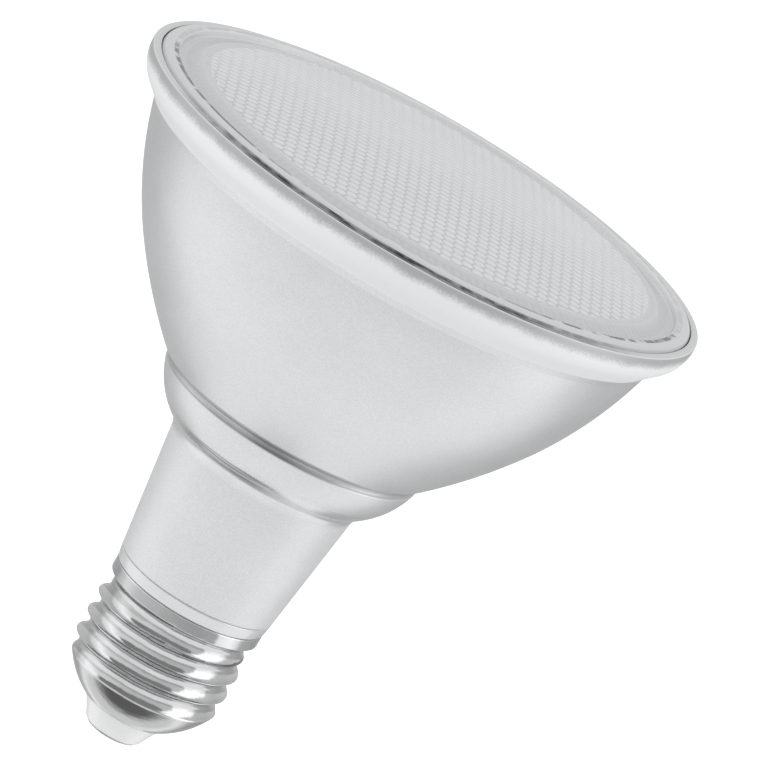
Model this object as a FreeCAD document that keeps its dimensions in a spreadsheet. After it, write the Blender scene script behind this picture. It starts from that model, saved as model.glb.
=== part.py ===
import FreeCAD, Part
import math
import os
import Sketcher

# A reflector lamp with a screw cap, standing cap down on its axis.
# The axis is +Z and the origin is the middle of the centre contact's end face.
# All sizes are in millimetres, as radii and as heights above the origin.

doc = FreeCAD.newDocument("par_spotlight_bulb")
sheet = doc.addObject("Spreadsheet::Sheet", "sizes")

SIZES = {
    # Centre contact and insulator
    "contact_radius": 4.4,
    "contact_thick": 0.4,
    "rivet_radius": 1.2,
    "rivet_stand": 0.8,
    "rivet_clearance": 0.1,
    "insulator_margin": 0.5,
    "insulator_edge_radius": 0.5,
    "insulator_rise": 4.0,
    "insulator_spread": 2.5,
    "insulator_floor_rise": 5.2,
    "insulator_ledge": 4.1,
    # Screw shell, to the standard 27 mm cap
    "thread_root_radius": 12.05,
    "thread_depth": 1.05,
    "thread_pitch": 3.629,
    "thread_land": 0.434,
    "thread_offset": 4.37,
    "thread_length": 13.63,
    "shell_wall": 0.35,
    "shell_dome_radius": 15.0,
    "shell_dome_rise": 6.6,
    "shell_shoulder_rise": 5.6,
    "shell_band": 3.8,
    # Driver housing, with the ring seen between the neck and the cap
    "ring_height": 2.2,
    "ring_step": 0.02,
    "ring_flare": 0.38,
    "housing_foot_rise": 2.0,
    "housing_drop": 4.0,
    "housing_wall": 1.1,
    "housing_fit": 0.12,
    "notch_width": 1.4,
    "notch_spare": 1.0,
    "adhesive_gap": 0.4,
    "adhesive_height": 7.0,
    # Reflector body, neck and waist
    "neck_length": 21.6,
    "neck_taper": 2.75,
    "neck_wall": 2.4,
    "neck_edge_radius": 0.4,
    "waist_foot_rise": 1.2,
    "waist_foot_flare": 0.5,
    "waist_rise": 6.4,
    "waist_flare": 4.5,
    "waist_arc_radius": 14.0,
    "waist_groove_rise": 1.3,
    "waist_groove_flare": 1.05,
    "waist_groove_radius": 1.1,
    # Reflector body, bowl and rim
    "bowl_low_rise": 16.6,
    "bowl_low_spread": 13.3,
    "bowl_low_arc_radius": 92.0,
    "bowl_high_rise": 19.1,
    "bowl_high_spread": 8.5,
    "bowl_high_arc_radius": 66.0,
    "bowl_wall": 2.6,
    "rim_root_rise": 1.3,
    "rim_root_flare": 0.7,
    "rim_root_radius": 1.6,
    "rim_flare_rise": 2.1,
    "rim_flare": 2.2,
    "rim_round_rise": 3.3,
    "rim_round_swell": 1.5,
    "rim_round_radius": 5.0,
    "rim_side_height": 1.4,
    "rim_edge_radius": 0.45,
    "rim_lip": 1.3,
    "rebate_depth": 2.8,
    "rebate_ledge": 4.0,
    # Front lens and its seal
    "seal_thick": 0.3,
    "lens_fit": 0.15,
    "lens_stand": 0.7,
    "lens_edge_radius": 1.1,
    "lens_step_gap": 0.6,
    "lens_step_depth": 0.7,
    "lens_land_width": 2.65,
    "lens_wall_slope": 0.7,
    "lens_groove_depth": 0.9,
    "lens_groove_width": 2.4,
    "field_rise_width": 1.1,
    "field_step": 0.1,
    "field_dome_radius": 400.0,
    "field_border": 1.3,
    "lenslet_width": 2.125,
    "lenslet_rise": 0.2,
    "lens_thick": 3.2,
    # Heat sink, pad and light board
    "sink_drop": 0.9,
    "sink_plate_thick": 2.8,
    "sink_wall": 1.4,
    "sink_overlap": 6.0,
    "sink_fit": 0.25,
    "pad_thick": 0.25,
    "pad_margin": 1.2,
    "light_board_margin": 2.55,
    "light_board_thick": 1.2,
    "screw_inset": 2.8,
    "screw_radius": 1.0,
    "screw_fit": 0.05,
    "screw_length": 3.8,
    "screw_hole_spare": 0.3,
    "screw_head_radius": 1.9,
    "screw_head_height": 1.1,
    "screw_slot": 0.5,
    "led_inset": 2.8,
    "led_width": 3.0,
    "led_height": 0.7,
    "lead_radius": 0.4,
    "lead_spacing": 1.6,
    "lead_tail": 2.8,
    "lead_clearance": 0.2,
    "connector_end": 1.1,
    "connector_width": 2.6,
    "connector_height": 2.0,
    # Driver board and its parts
    "driver_lift": 2.5,
    "driver_stand": 2.0,
    "driver_fit": 0.4,
    "driver_half_thick": 0.8,
    "solder_gap": 0.05,
    "core_length": 10.0,
    "core_height": 9.0,
    "core_clearance": 0.345,
    "core_bar": 2.2,
    "core_gap": 0.4,
    "bulk_clearance": 0.75,
    "bulk_length": 12.0,
    "bulk_rise": 3.7,
    "can_crimp": 1.4,
    "can_bead": 0.35,
    "output_radius": 3.15,
    "output_length": 9.0,
    "output_gap": 2.5,
    "film_length": 7.2,
    "film_depth": 3.5,
    "film_height": 6.0,
    "film_gap": 2.6,
    "bridge_length": 4.7,
    "bridge_depth": 2.5,
    "bridge_height": 3.9,
    "bridge_rise": 8.0,
    "chip_length": 4.9,
    "chip_depth": 1.6,
    "chip_height": 3.9,
    "chip_gap": 0.7,
    "fuse_radius": 1.3,
    "fuse_length": 6.5,
    "fuse_rise": 2.5,
    "fuse_offset": 5.4,
    # Wires to the cap
    "live_radius": 0.5,
    "live_bend": 1.5,
    "live_rise": 3.4,
    "live_slant": 1.8,
    "live_tail": 3.0,
    "neutral_radius": 0.45,
    "neutral_bend": 0.9,
    "neutral_lift": 0.7,
    "neutral_rise": 3.0,
    "neutral_inset": 2.2,
    "neutral_tail": 2.5,
}


class Size:
    """A length with its number and the sheet formula that gives it."""

    def __init__(self, value, formula):
        self.value = float(value)
        self.formula = formula

    def joined(self, sign, other, value):
        return Size(value, "(%s %s %s)" % (self.formula, sign, other.formula))

    def __add__(self, other):
        other = as_size(other)
        return self.joined("+", other, self.value + other.value)

    def __sub__(self, other):
        other = as_size(other)
        return self.joined("-", other, self.value - other.value)

    def __mul__(self, other):
        other = as_size(other)
        return self.joined("*", other, self.value * other.value)

    def __truediv__(self, other):
        other = as_size(other)
        return self.joined("/", other, self.value / other.value)

    def __neg__(self):
        return Size(-self.value, "(0 - %s)" % self.formula)

    def root(self):
        return Size(math.sqrt(self.value), "sqrt(%s)" % self.formula)


def as_size(number):
    if isinstance(number, Size):
        return number
    return Size(number, repr(float(number)))


class Lengths:
    """The sheet's sizes by name."""


def fill_sheet():
    lengths = Lengths()
    for row, (name, value) in enumerate(SIZES.items(), start=1):
        sheet.set("A%d" % row, name.replace("_", " "))
        sheet.set("B%d" % row, str(value))
        sheet.setAlias("B%d" % row, name)
        setattr(lengths, name, Size(value, "sizes." + name))
    doc.recompute()
    return lengths


S = fill_sheet()

# Thread: the groove's radius follows from the pitch, the land at the crest and the depth
S.thread_half_width = (S.thread_pitch - S.thread_land) / 2
S.thread_groove_radius = ((S.thread_half_width * S.thread_half_width + S.thread_depth * S.thread_depth)
                          / (S.thread_depth * 2))
S.thread_crest_radius = S.thread_root_radius + S.thread_depth

# Heights, from the contact up to the lens
S.insulator_floor = S.contact_thick + S.insulator_floor_rise
S.rivet_height = S.insulator_floor + S.rivet_stand
S.shell_end_height = S.contact_thick + S.insulator_rise
S.shell_shoulder_height = S.shell_end_height + S.shell_shoulder_rise
S.shell_dome_height = S.shell_end_height + S.shell_dome_rise
S.thread_start_height = S.shell_end_height + S.thread_offset
S.thread_relief_height = S.thread_start_height + S.thread_length
S.shell_top_height = S.thread_relief_height + S.shell_band
S.neck_foot_height = S.shell_top_height + S.ring_height
S.neck_top_height = S.neck_foot_height + S.neck_length
S.housing_foot_height = S.shell_shoulder_height + S.housing_foot_rise
S.housing_top_height = S.neck_top_height - S.housing_drop
S.waist_low_height = S.neck_top_height + S.waist_foot_rise
S.waist_high_height = S.waist_low_height + S.waist_rise
S.bowl_foot_height = S.waist_high_height + S.waist_groove_rise
S.bowl_middle_height = S.bowl_foot_height + S.bowl_low_rise
S.bowl_top_height = S.bowl_middle_height + S.bowl_high_rise
S.rim_flare_low_height = S.bowl_top_height + S.rim_root_rise
S.rim_flare_high_height = S.rim_flare_low_height + S.rim_flare_rise
S.rim_waist_height = S.rim_flare_high_height + S.rim_round_rise
S.rim_top_height = S.rim_waist_height + S.rim_side_height
S.rebate_height = S.rim_top_height - S.rebate_depth
S.lens_top_height = S.rim_top_height + S.lens_stand
S.lens_groove_height = S.lens_top_height - S.lens_groove_depth
S.field_edge_height = S.lens_top_height + S.field_step

# Radii, from the cap out to the rim
S.shell_bore = S.thread_root_radius - S.shell_wall
S.insulator_foot_radius = S.contact_radius + S.insulator_margin
S.insulator_well_radius = S.shell_bore - S.insulator_ledge
S.shell_end_radius = S.insulator_foot_radius + S.insulator_spread
S.ring_foot_radius = S.thread_crest_radius + S.ring_step
S.neck_foot_radius = S.ring_foot_radius + S.ring_flare
S.neck_foot_bore = S.neck_foot_radius - S.neck_wall
S.housing_tube_radius = S.neck_foot_bore - S.adhesive_gap
S.housing_bore_radius = S.housing_tube_radius - S.housing_wall
S.neck_top_radius = S.neck_foot_radius + S.neck_taper
S.waist_low_radius = S.neck_top_radius + S.waist_foot_flare
S.waist_high_radius = S.waist_low_radius + S.waist_flare
S.bowl_foot_radius = S.waist_high_radius + S.waist_groove_flare
S.bowl_middle_radius = S.bowl_foot_radius + S.bowl_low_spread
S.bowl_top_radius = S.bowl_middle_radius + S.bowl_high_spread
S.rim_flare_low_radius = S.bowl_top_radius + S.rim_root_flare
S.rim_flare_high_radius = S.rim_flare_low_radius + S.rim_flare
S.rim_radius = S.rim_flare_high_radius + S.rim_round_swell
S.rebate_radius = S.rim_radius - S.rim_lip
S.rebate_inner_radius = S.rebate_radius - S.rebate_ledge
S.lens_radius = S.rebate_radius - S.lens_fit
S.lens_land_radius = S.lens_radius - S.lens_land_width
S.lens_groove_radius = S.lens_land_radius - S.lens_wall_slope - S.lens_groove_width
S.field_radius = S.lens_groove_radius - S.field_rise_width


# Shared steps: outlines, turned bodies and plain solids

def origin_plane(body, role):
    return next(item for item in body.Origin.OriginFeatures if item.Role == role)


def new_sketch(body, name, role):
    sketch = body.newObject("Sketcher::SketchObject", name)
    sketch.AttachmentSupport = [(origin_plane(body, role), "")]
    sketch.MapMode = "FlatFace"
    return sketch


def bind(sketch, constraint, size):
    """Adds a constraint and ties its value to the sheet."""
    index = sketch.addConstraint(constraint)
    sketch.setExpression("Constraints[%d]" % index, size.formula)


def arc_between(first, last, radius, turn):
    """A circle's arc from first to last; turn is 1 for anticlockwise and -1 for clockwise."""
    chord = last - first
    rise = math.sqrt(max(radius ** 2 - (chord.Length / 2) ** 2, 0.0))
    across = FreeCAD.Vector(-chord.y, chord.x, 0).normalize()
    centre = (first + last) / 2 + across * rise * turn
    start, end = (first, last) if turn > 0 else (last, first)
    start_angle = math.atan2(start.y - centre.y, start.x - centre.x)
    end_angle = math.atan2(end.y - centre.y, end.x - centre.x)
    if end_angle < start_angle:
        end_angle += 2 * math.pi
    circle = Part.Circle(centre, FreeCAD.Vector(0, 0, 1), radius)
    return Part.ArcOfCircle(circle, start_angle, end_angle)


def draw_outline(sketch, corners):
    """Closed outline through the corners (radius, height[, arc radius, turn of the next edge])."""
    points = [FreeCAD.Vector(as_size(c[0]).value, as_size(c[1]).value, 0) for c in corners]
    ends = []
    for index, corner in enumerate(corners):
        first, last = points[index], points[(index + 1) % len(points)]
        if len(corner) > 2:
            edge = sketch.addGeometry(arc_between(first, last, corner[2].value, corner[3]), False)
            ends.append((edge, 1, 2) if corner[3] > 0 else (edge, 2, 1))
            bind(sketch, Sketcher.Constraint("Radius", edge, corner[2].value), corner[2])
        else:
            edge = sketch.addGeometry(Part.LineSegment(first, last), False)
            ends.append((edge, 1, 2))
    for (edge, _, last), (other, first, _) in zip(ends, ends[1:] + ends[:1]):
        sketch.addConstraint(Sketcher.Constraint("Coincident", edge, last, other, first))
    for (edge, first, _), corner in zip(ends, corners):
        for axis, kind, size in ((-2, "DistanceX", corner[0]), (-1, "DistanceY", corner[1])):
            if isinstance(size, Size):
                bind(sketch, Sketcher.Constraint(kind, -1, 1, edge, first, size.value), size)
            else:
                sketch.addConstraint(Sketcher.Constraint("PointOnObject", edge, first, axis))


def turned_body(name, corners):
    """A body of revolution about the lamp's axis."""
    body = doc.addObject("PartDesign::Body", name)
    sketch = new_sketch(body, name + "_outline", "XZ_Plane")
    draw_outline(sketch, corners)
    turn = body.newObject("PartDesign::Revolution", name + "_turn")
    turn.Profile = sketch
    turn.ReferenceAxis = (sketch, ["V_Axis"])
    turn.Angle = 360
    doc.recompute()
    return body


def tie(item, **sizes):
    """Sets properties of a solid and ties them to the sheet."""
    for name, size in sizes.items():
        item.setExpression(name, as_size(size).formula)


def place(item, x, y, z):
    item.setExpression("Placement.Base.x", as_size(x).formula)
    item.setExpression("Placement.Base.y", as_size(y).formula)
    item.setExpression("Placement.Base.z", as_size(z).formula)


def block(name, length, depth, height, x, y, z):
    """A box with its low corner at x, y, z."""
    item = doc.addObject("Part::Box", name)
    tie(item, Length=length, Width=depth, Height=height)
    place(item, x, y, z)
    return item


def rod(name, radius, height, x, y, z):
    """An upright cylinder with the middle of its foot at x, y, z."""
    item = doc.addObject("Part::Cylinder", name)
    tie(item, Radius=radius, Height=height)
    place(item, x, y, z)
    return item


def fused(name, items):
    item = doc.addObject("Part::MultiFuse", name)
    item.Shapes = items
    item.Refine = True
    return item


def cut(name, base, tool):
    item = doc.addObject("Part::Cut", name)
    item.Base = base
    item.Tool = tool
    return item


def group(name, items):
    item = doc.addObject("Part::Compound", name)
    item.Links = items
    return item


# Centre contact: a brass plate with a hollow rivet up through the insulator
def make_centre_contact():
    return turned_body("centre_contact", [
        (0, 0),
        (S.contact_radius, 0),
        (S.contact_radius, S.contact_thick),
        (S.rivet_radius, S.contact_thick),
        (S.rivet_radius, S.rivet_height),
        (0, S.rivet_height),
    ])


# Cap insulator: a glass cone that fills the end of the shell, with a well above
def make_cap_insulator():
    hole = S.rivet_radius + S.rivet_clearance
    mouth = S.shell_end_radius - S.shell_wall
    return turned_body("cap_insulator", [
        (hole, S.contact_thick),
        (S.insulator_foot_radius - S.insulator_edge_radius, S.contact_thick, S.insulator_edge_radius, 1),
        (S.insulator_foot_radius, S.contact_thick + S.insulator_edge_radius),
        (mouth, S.shell_end_height),
        (S.shell_bore, S.shell_shoulder_height),
        (S.insulator_well_radius, S.shell_shoulder_height),
        (hole, S.insulator_floor),
    ])


# Screw shell: thin plated brass, with a plain band, a relief groove and a rolled thread
def make_screw_shell():
    body = turned_body("screw_shell", [
        (S.shell_end_radius - S.shell_wall, S.shell_end_height),
        (S.shell_end_radius, S.shell_end_height, S.shell_dome_radius, 1),
        (S.thread_crest_radius, S.shell_dome_height),
        (S.thread_crest_radius, S.shell_top_height),
        (S.shell_bore, S.shell_top_height),
        (S.shell_bore, S.shell_shoulder_height),
    ])
    relief_sketch = new_sketch(body, "relief_outline", "XZ_Plane")
    groove_section(relief_sketch, S.thread_relief_height)
    relief = body.newObject("PartDesign::Groove", "relief_groove")
    relief.Profile = relief_sketch
    relief.ReferenceAxis = (relief_sketch, ["V_Axis"])
    relief.Angle = 360
    doc.recompute()
    thread_sketch = new_sketch(body, "thread_outline", "XZ_Plane")
    groove_section(thread_sketch, S.thread_start_height)
    thread = body.newObject("PartDesign::SubtractiveHelix", "thread")
    thread.Profile = thread_sketch
    thread.ReferenceAxis = (thread_sketch, ["V_Axis"])
    thread.Mode = "pitch-height-angle"
    tie(thread, Pitch=S.thread_pitch, Height=S.thread_length)
    thread.LeftHanded = False
    doc.recompute()
    return body


GROOVE_SIDES = 6


def groove_section(sketch, height):
    """Section of the thread's round groove, as a many-sided half round at the given height."""
    middle = S.thread_root_radius + S.thread_groove_radius
    corners = []
    for side in range(GROOVE_SIDES + 1):
        angle = math.pi * (0.5 + side / GROOVE_SIDES)
        corners.append((middle + S.thread_groove_radius * round(math.cos(angle), 6),
                        height + S.thread_groove_radius * round(math.sin(angle), 6)))
    draw_outline(sketch, corners)


# Driver housing: one moulded tube with the cap's spigot below and the ring between neck and cap
def make_driver_housing():
    spigot = S.shell_bore - S.housing_fit
    tube = turned_body("driver_housing", [
        (S.housing_bore_radius, S.housing_foot_height),
        (spigot, S.housing_foot_height),
        (spigot, S.shell_top_height),
        (S.ring_foot_radius, S.shell_top_height),
        (S.neck_foot_radius, S.neck_foot_height),
        (S.housing_tube_radius, S.neck_foot_height),
        (S.housing_tube_radius, S.housing_top_height),
        (S.housing_bore_radius, S.housing_top_height),
    ])
    # Notch in the spigot's foot, where the neutral wire is folded out against the shell
    notch_sketch = new_sketch(tube, "notch_outline", "XY_Plane")
    half = S.notch_width / 2
    draw_outline(notch_sketch, [
        (S.housing_bore_radius - S.notch_spare, -half),
        (spigot + S.notch_spare, -half),
        (spigot + S.notch_spare, half),
        (S.housing_bore_radius - S.notch_spare, half),
    ])
    notch = tube.newObject("PartDesign::Pocket", "wire_notch")
    notch.Profile = notch_sketch
    notch.Reversed = True
    notch.Type = "Length"
    tie(notch, Length=S.housing_foot_height + S.neutral_rise + S.notch_spare)
    doc.recompute()
    return tube


# Reflector body: one piece of pressed glass, with neck, waist, bowl and lens rebate
# The inner face is set in by these shares of the wall, where the bowl's side leans
FOOT_LEAN = 0.7
MIDDLE_LEAN = 0.9


def waist_inner_low():
    return (S.neck_top_radius - S.neck_wall, S.neck_top_height)


def waist_inner_high():
    """Foot of the bowl's inner face, set in from the outer one by the wall."""
    return (S.bowl_foot_radius - S.bowl_wall * FOOT_LEAN, S.bowl_foot_height + S.bowl_wall * FOOT_LEAN)


def waist_inner_radius(height):
    """Radius of the waist's plain inner cone at a height."""
    low, high = waist_inner_low(), waist_inner_high()
    return low[0] + (height - low[1]) * (high[0] - low[0]) / (high[1] - low[1])


def make_reflector_body():
    low, high = waist_inner_low(), waist_inner_high()
    return turned_body("reflector_body", [
        (S.neck_foot_bore, S.neck_foot_height),
        (S.neck_foot_radius - S.neck_edge_radius, S.neck_foot_height, S.neck_edge_radius, 1),
        (S.neck_foot_radius, S.neck_foot_height + S.neck_edge_radius),
        (S.neck_top_radius, S.neck_top_height),
        (S.waist_low_radius, S.waist_low_height, S.waist_arc_radius, 1),
        (S.waist_high_radius, S.waist_high_height, S.waist_groove_radius, -1),
        (S.bowl_foot_radius, S.bowl_foot_height, S.bowl_low_arc_radius, 1),
        (S.bowl_middle_radius, S.bowl_middle_height, S.bowl_high_arc_radius, 1),
        (S.bowl_top_radius, S.bowl_top_height, S.rim_root_radius, -1),
        (S.rim_flare_low_radius, S.rim_flare_low_height),
        (S.rim_flare_high_radius, S.rim_flare_high_height, S.rim_round_radius, 1),
        (S.rim_radius, S.rim_waist_height),
        (S.rim_radius, S.rim_top_height - S.rim_edge_radius, S.rim_edge_radius, 1),
        (S.rim_radius - S.rim_edge_radius, S.rim_top_height),
        (S.rebate_radius, S.rim_top_height),
        (S.rebate_radius, S.rebate_height),
        (S.rebate_inner_radius, S.rebate_height),
        (S.bowl_top_radius - S.bowl_wall, S.bowl_top_height, S.bowl_high_arc_radius, -1),
        (S.bowl_middle_radius - S.bowl_wall * MIDDLE_LEAN, S.bowl_middle_height,
         S.bowl_low_arc_radius, -1),
        high,
        low,
    ])


# Lens seal: a bead of silicone between the rebate's floor and the lens
def make_lens_seal():
    return turned_body("lens_seal", [
        (S.rebate_inner_radius, S.rebate_height),
        (S.lens_radius, S.rebate_height),
        (S.lens_radius, S.rebate_height + S.seal_thick),
        (S.rebate_inner_radius, S.rebate_height + S.seal_thick),
    ])


def dome_top(dome, edge_radius, edge_height):
    """Height of a dome's top above an edge of the given radius and height."""
    return edge_height + dome - (dome * dome - edge_radius * edge_radius).root()


# Front lens: pressed glass with a flat land, a groove and a low dome of six-sided lenslets
LENSLET_TURN = 6


def lenslet_cells():
    """Each whole lenslet within the border, as its middle and its six corners."""
    width = S.lenslet_width.value
    side = width / math.sqrt(3)
    limit = (S.field_radius - S.field_border).value
    count = int(limit / side) + 1
    turns = [math.radians(60 * index) for index in range(6)]
    cells = []
    for column in range(-count, count + 1):
        for row in range(-count, count + 1):
            x = column * side * 1.5
            y = (row + column % 2 / 2) * width
            corners = [(round(x + side * math.cos(turn), 5), round(y + side * math.sin(turn), 5))
                       for turn in turns]
            if max(math.hypot(*corner) for corner in corners) < limit:
                cells.append(((x, y), corners))
    return cells


def outer_loop(cells):
    """The corners round the pattern's edge in order, along the sides that have one cell only."""
    after = {}
    for _, corners in cells:
        for index, corner in enumerate(corners):
            after[corner, corners[(index + 1) % 6]] = True
    steps = {first: last for first, last in after if (last, first) not in after}
    loop = [next(iter(steps))]
    while steps[loop[-1]] != loop[0]:
        loop.append(steps[loop[-1]])
    return loop


def lenslet_faces(cells, loop):
    """Six flat faces for each lenslet, which stands on the dome; the outermost corners lie on its foot."""
    dome = S.field_dome_radius.value
    foot = S.field_edge_height.value
    crown = dome_top(S.field_dome_radius, S.field_radius - S.field_border, S.field_edge_height).value
    border = set(loop)

    def on_dome(x, y, rise):
        drop = dome - math.sqrt(dome ** 2 - x ** 2 - y ** 2)
        return FreeCAD.Vector(x, y, crown - drop + rise)

    faces = []
    for middle, corners in cells:
        peak = on_dome(*middle, S.lenslet_rise.value)
        places = [FreeCAD.Vector(*corner, foot) if corner in border else on_dome(*corner, 0.0)
                  for corner in corners]
        for first, last in zip(places, places[1:] + places[:1]):
            faces.append(Part.Face(Part.makePolygon([first, last, peak, first])))
    return faces


def make_front_lens():
    blank = make_lens_blank()
    cells = lenslet_cells()
    loop = outer_loop(cells)
    field = Part.makeCompound(lenslet_faces(cells, loop))
    foot = S.field_edge_height.value
    edge = Part.makePolygon([FreeCAD.Vector(*corner, foot) for corner in loop + loop[:1]])
    turn = FreeCAD.Placement(FreeCAD.Vector(), FreeCAD.Rotation(FreeCAD.Vector(0, 0, 1), LENSLET_TURN))
    field.Placement = turn
    edge.Placement = turn
    top = max(blank.Shape.Faces, key=lambda face: face.CenterOfMass.z)
    land = Part.makeFace([top.OuterWire, edge], "Part::FaceMakerBullseye")
    others = [face for face in blank.Shape.Faces if not face.isSame(top)]
    shell = Part.makeShell(others + [land] + field.Faces)
    shell.sewShape()
    lens = doc.addObject("Part::Feature", "front_lens")
    lens.Shape = Part.makeSolid(shell)
    return lens


def make_lens_blank():
    """The lens without its lenslets, with a flat face where they stand."""
    foot = S.rebate_height + S.seal_thick
    spigot = S.rebate_inner_radius - S.lens_step_gap
    inner_dome = S.field_dome_radius - S.lens_thick
    inner_crown = dome_top(inner_dome, spigot, foot - S.lens_step_depth)
    return turned_body("lens_blank", [
        (0, inner_crown, inner_dome, -1),
        (spigot, foot - S.lens_step_depth),
        (spigot, foot),
        (S.lens_radius, foot),
        (S.lens_radius, S.lens_top_height - S.lens_edge_radius, S.lens_edge_radius, 1),
        (S.lens_radius - S.lens_edge_radius, S.lens_top_height),
        (S.lens_land_radius, S.lens_top_height),
        (S.lens_land_radius - S.lens_wall_slope, S.lens_groove_height),
        (S.lens_groove_radius, S.lens_groove_height),
        (S.field_radius, S.field_edge_height),
        (0, S.field_edge_height),
    ])


# Neck adhesive: the bead that holds the glass neck on the housing
def make_neck_adhesive():
    top = S.neck_foot_height + S.adhesive_height
    return turned_body("neck_adhesive", [
        (S.housing_tube_radius, S.neck_foot_height),
        (S.neck_foot_bore, S.neck_foot_height),
        (S.neck_foot_bore + S.neck_taper / S.neck_length * S.adhesive_height, top),
        (S.housing_tube_radius, top),
    ])


# Heat sink: a turned aluminium cup over the housing, with a plate under the light board
def sink_top_height():
    return S.bowl_foot_height - S.sink_drop


def sink_top_radius():
    return waist_inner_radius(sink_top_height()) - S.sink_fit


def lead_hole_radius():
    """Radius of the middle hole that both leads pass with a clearance."""
    reach = (S.lead_spacing * S.lead_spacing + lead_offset() * lead_offset()).root()
    return reach + S.lead_radius + S.lead_clearance


def make_heat_sink():
    skirt_inner = S.housing_tube_radius + S.housing_fit
    plate_low = sink_top_height() - S.sink_plate_thick
    skirt_low = S.housing_top_height - S.sink_overlap
    body = turned_body("heat_sink", [
        (skirt_inner, skirt_low),
        (skirt_inner + S.sink_wall, skirt_low),
        (skirt_inner + S.sink_wall, plate_low - S.sink_wall),
        (waist_inner_radius(plate_low) - S.sink_fit, plate_low),
        (sink_top_radius(), sink_top_height()),
        (lead_hole_radius(), sink_top_height()),
        (lead_hole_radius(), plate_low - S.sink_wall),
        (S.housing_bore_radius, plate_low - S.sink_wall),
        (S.housing_bore_radius, S.housing_top_height),
        (skirt_inner, S.housing_top_height),
    ])
    depth = S.screw_length - S.light_board_thick - S.pad_thick + S.screw_hole_spare
    screw_holes(body, S.screw_radius + S.screw_fit, sink_top_height(), depth)
    return body


SCREW_COUNT = 3


def screw_holes(body, radius, top, depth):
    """Round holes for the board's screws, cut down from the top face."""
    sketch = new_sketch(body, body.Name + "_hole", "XY_Plane")
    sketch.setExpression("AttachmentOffset.Base.z", top.formula)
    centre = FreeCAD.Vector(screw_circle_radius().value, 0, 0)
    sketch.addGeometry(Part.Circle(centre, FreeCAD.Vector(0, 0, 1), radius.value), False)
    bind(sketch, Sketcher.Constraint("Radius", 0, radius.value), radius)
    sketch.addConstraint(Sketcher.Constraint("PointOnObject", 0, 3, -1))
    distance = Sketcher.Constraint("DistanceX", -1, 1, 0, 3, screw_circle_radius().value)
    bind(sketch, distance, screw_circle_radius())
    hole = body.newObject("PartDesign::Pocket", body.Name + "_screw_hole")
    hole.Profile = sketch
    hole.Type = "Length"
    tie(hole, Length=depth)
    doc.recompute()
    ring = body.newObject("PartDesign::PolarPattern", body.Name + "_screw_holes")
    ring.Originals = [hole]
    ring.Axis = (sketch, ["N_Axis"])
    ring.Angle = 360
    ring.Occurrences = SCREW_COUNT
    body.Tip = ring
    doc.recompute()


def flat_ring(name, inner, outer, low, high):
    return turned_body(name, [(inner, low), (outer, low), (outer, high), (inner, high)])


# Thermal pad and light board, screwed to the heat sink
def light_board_foot():
    return sink_top_height() + S.pad_thick


def light_board_top():
    return light_board_foot() + S.light_board_thick


def light_board_radius():
    return sink_top_radius() - S.light_board_margin


def screw_circle_radius():
    return light_board_radius() - S.screw_inset


def make_thermal_pad():
    body = flat_ring("thermal_pad", lead_hole_radius(), light_board_radius() - S.pad_margin,
                     sink_top_height(), light_board_foot())
    screw_holes(body, S.screw_radius + S.screw_fit, light_board_foot(), S.pad_thick)
    return body


def make_light_board():
    body = flat_ring("light_board", lead_hole_radius(), light_board_radius(),
                     light_board_foot(), light_board_top())
    screw_holes(body, S.screw_radius + S.screw_fit, light_board_top(), S.light_board_thick)
    return body


def direction(index, count, offset=0.0):
    """Cosine and sine of one of several even turns about the axis, and the turn in degrees."""
    turn = 360 * (index + offset) / count
    return round(math.cos(math.radians(turn)), 9), round(math.sin(math.radians(turn)), 9), turn


# Board screws: pan heads with a straight slot
def make_board_screws():
    screws = []
    for index in range(SCREW_COUNT):
        cosine, sine, _ = direction(index, SCREW_COUNT)
        x, y = screw_circle_radius() * cosine, screw_circle_radius() * sine
        top = light_board_top()
        shank = rod("shank_%d" % index, S.screw_radius, S.screw_length, x, y, top - S.screw_length)
        head = rod("head_%d" % index, S.screw_head_radius, S.screw_head_height, x, y, top)
        solid = fused("screw_%d" % index, [shank, head])
        reach = S.screw_head_radius + S.screw_slot
        slot = block("slot_%d" % index, reach * 2, S.screw_slot, S.screw_slot,
                     x - reach, y - S.screw_slot / 2, top + S.screw_head_height - S.screw_slot)
        screws.append(cut("slotted_screw_%d" % index, solid, slot))
    return group("board_screws", screws)


# Light-emitting chips in a ring on the light board, each square to its radius
LED_COUNT = 9


def make_leds():
    packages = []
    half = S.led_width / 2
    inner = screw_circle_radius() - S.led_inset - half
    for index in range(LED_COUNT):
        cosine, sine, turn = direction(index, LED_COUNT, 0.5)
        package = block("led_%d" % index, S.led_width, S.led_width, S.led_height,
                        inner * cosine + half * sine, inner * sine - half * cosine, light_board_top())
        package.Placement.Rotation = FreeCAD.Rotation(FreeCAD.Vector(0, 0, 1), turn)
        packages.append(package)
    return group("leds", packages)


# Driver board: upright in the housing's bore
def driver_half_width():
    return S.housing_bore_radius - S.driver_fit


def driver_low():
    return S.housing_foot_height + S.driver_lift


def driver_high():
    return S.housing_top_height + S.driver_stand


def make_driver_board():
    return block("driver_board", driver_half_width() * 2, S.driver_half_thick * 2,
                 driver_high() - driver_low(),
                 -driver_half_width(), -S.driver_half_thick, driver_low())


def board_front():
    """Plane of the driver board's front face, towards +Y, with the solder's height."""
    return S.driver_half_thick + S.solder_gap


# Transformer: a ferrite core of two E halves round a wound bobbin
def core_low():
    return bulk_low() + S.bulk_length + S.core_gap


def core_depth():
    """Depth that leaves the core's far corners a clearance in the housing's bore."""
    half = S.core_length / 2
    reach = (S.housing_bore_radius * S.housing_bore_radius - half * half).root()
    return reach - board_front() - S.core_clearance


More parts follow.
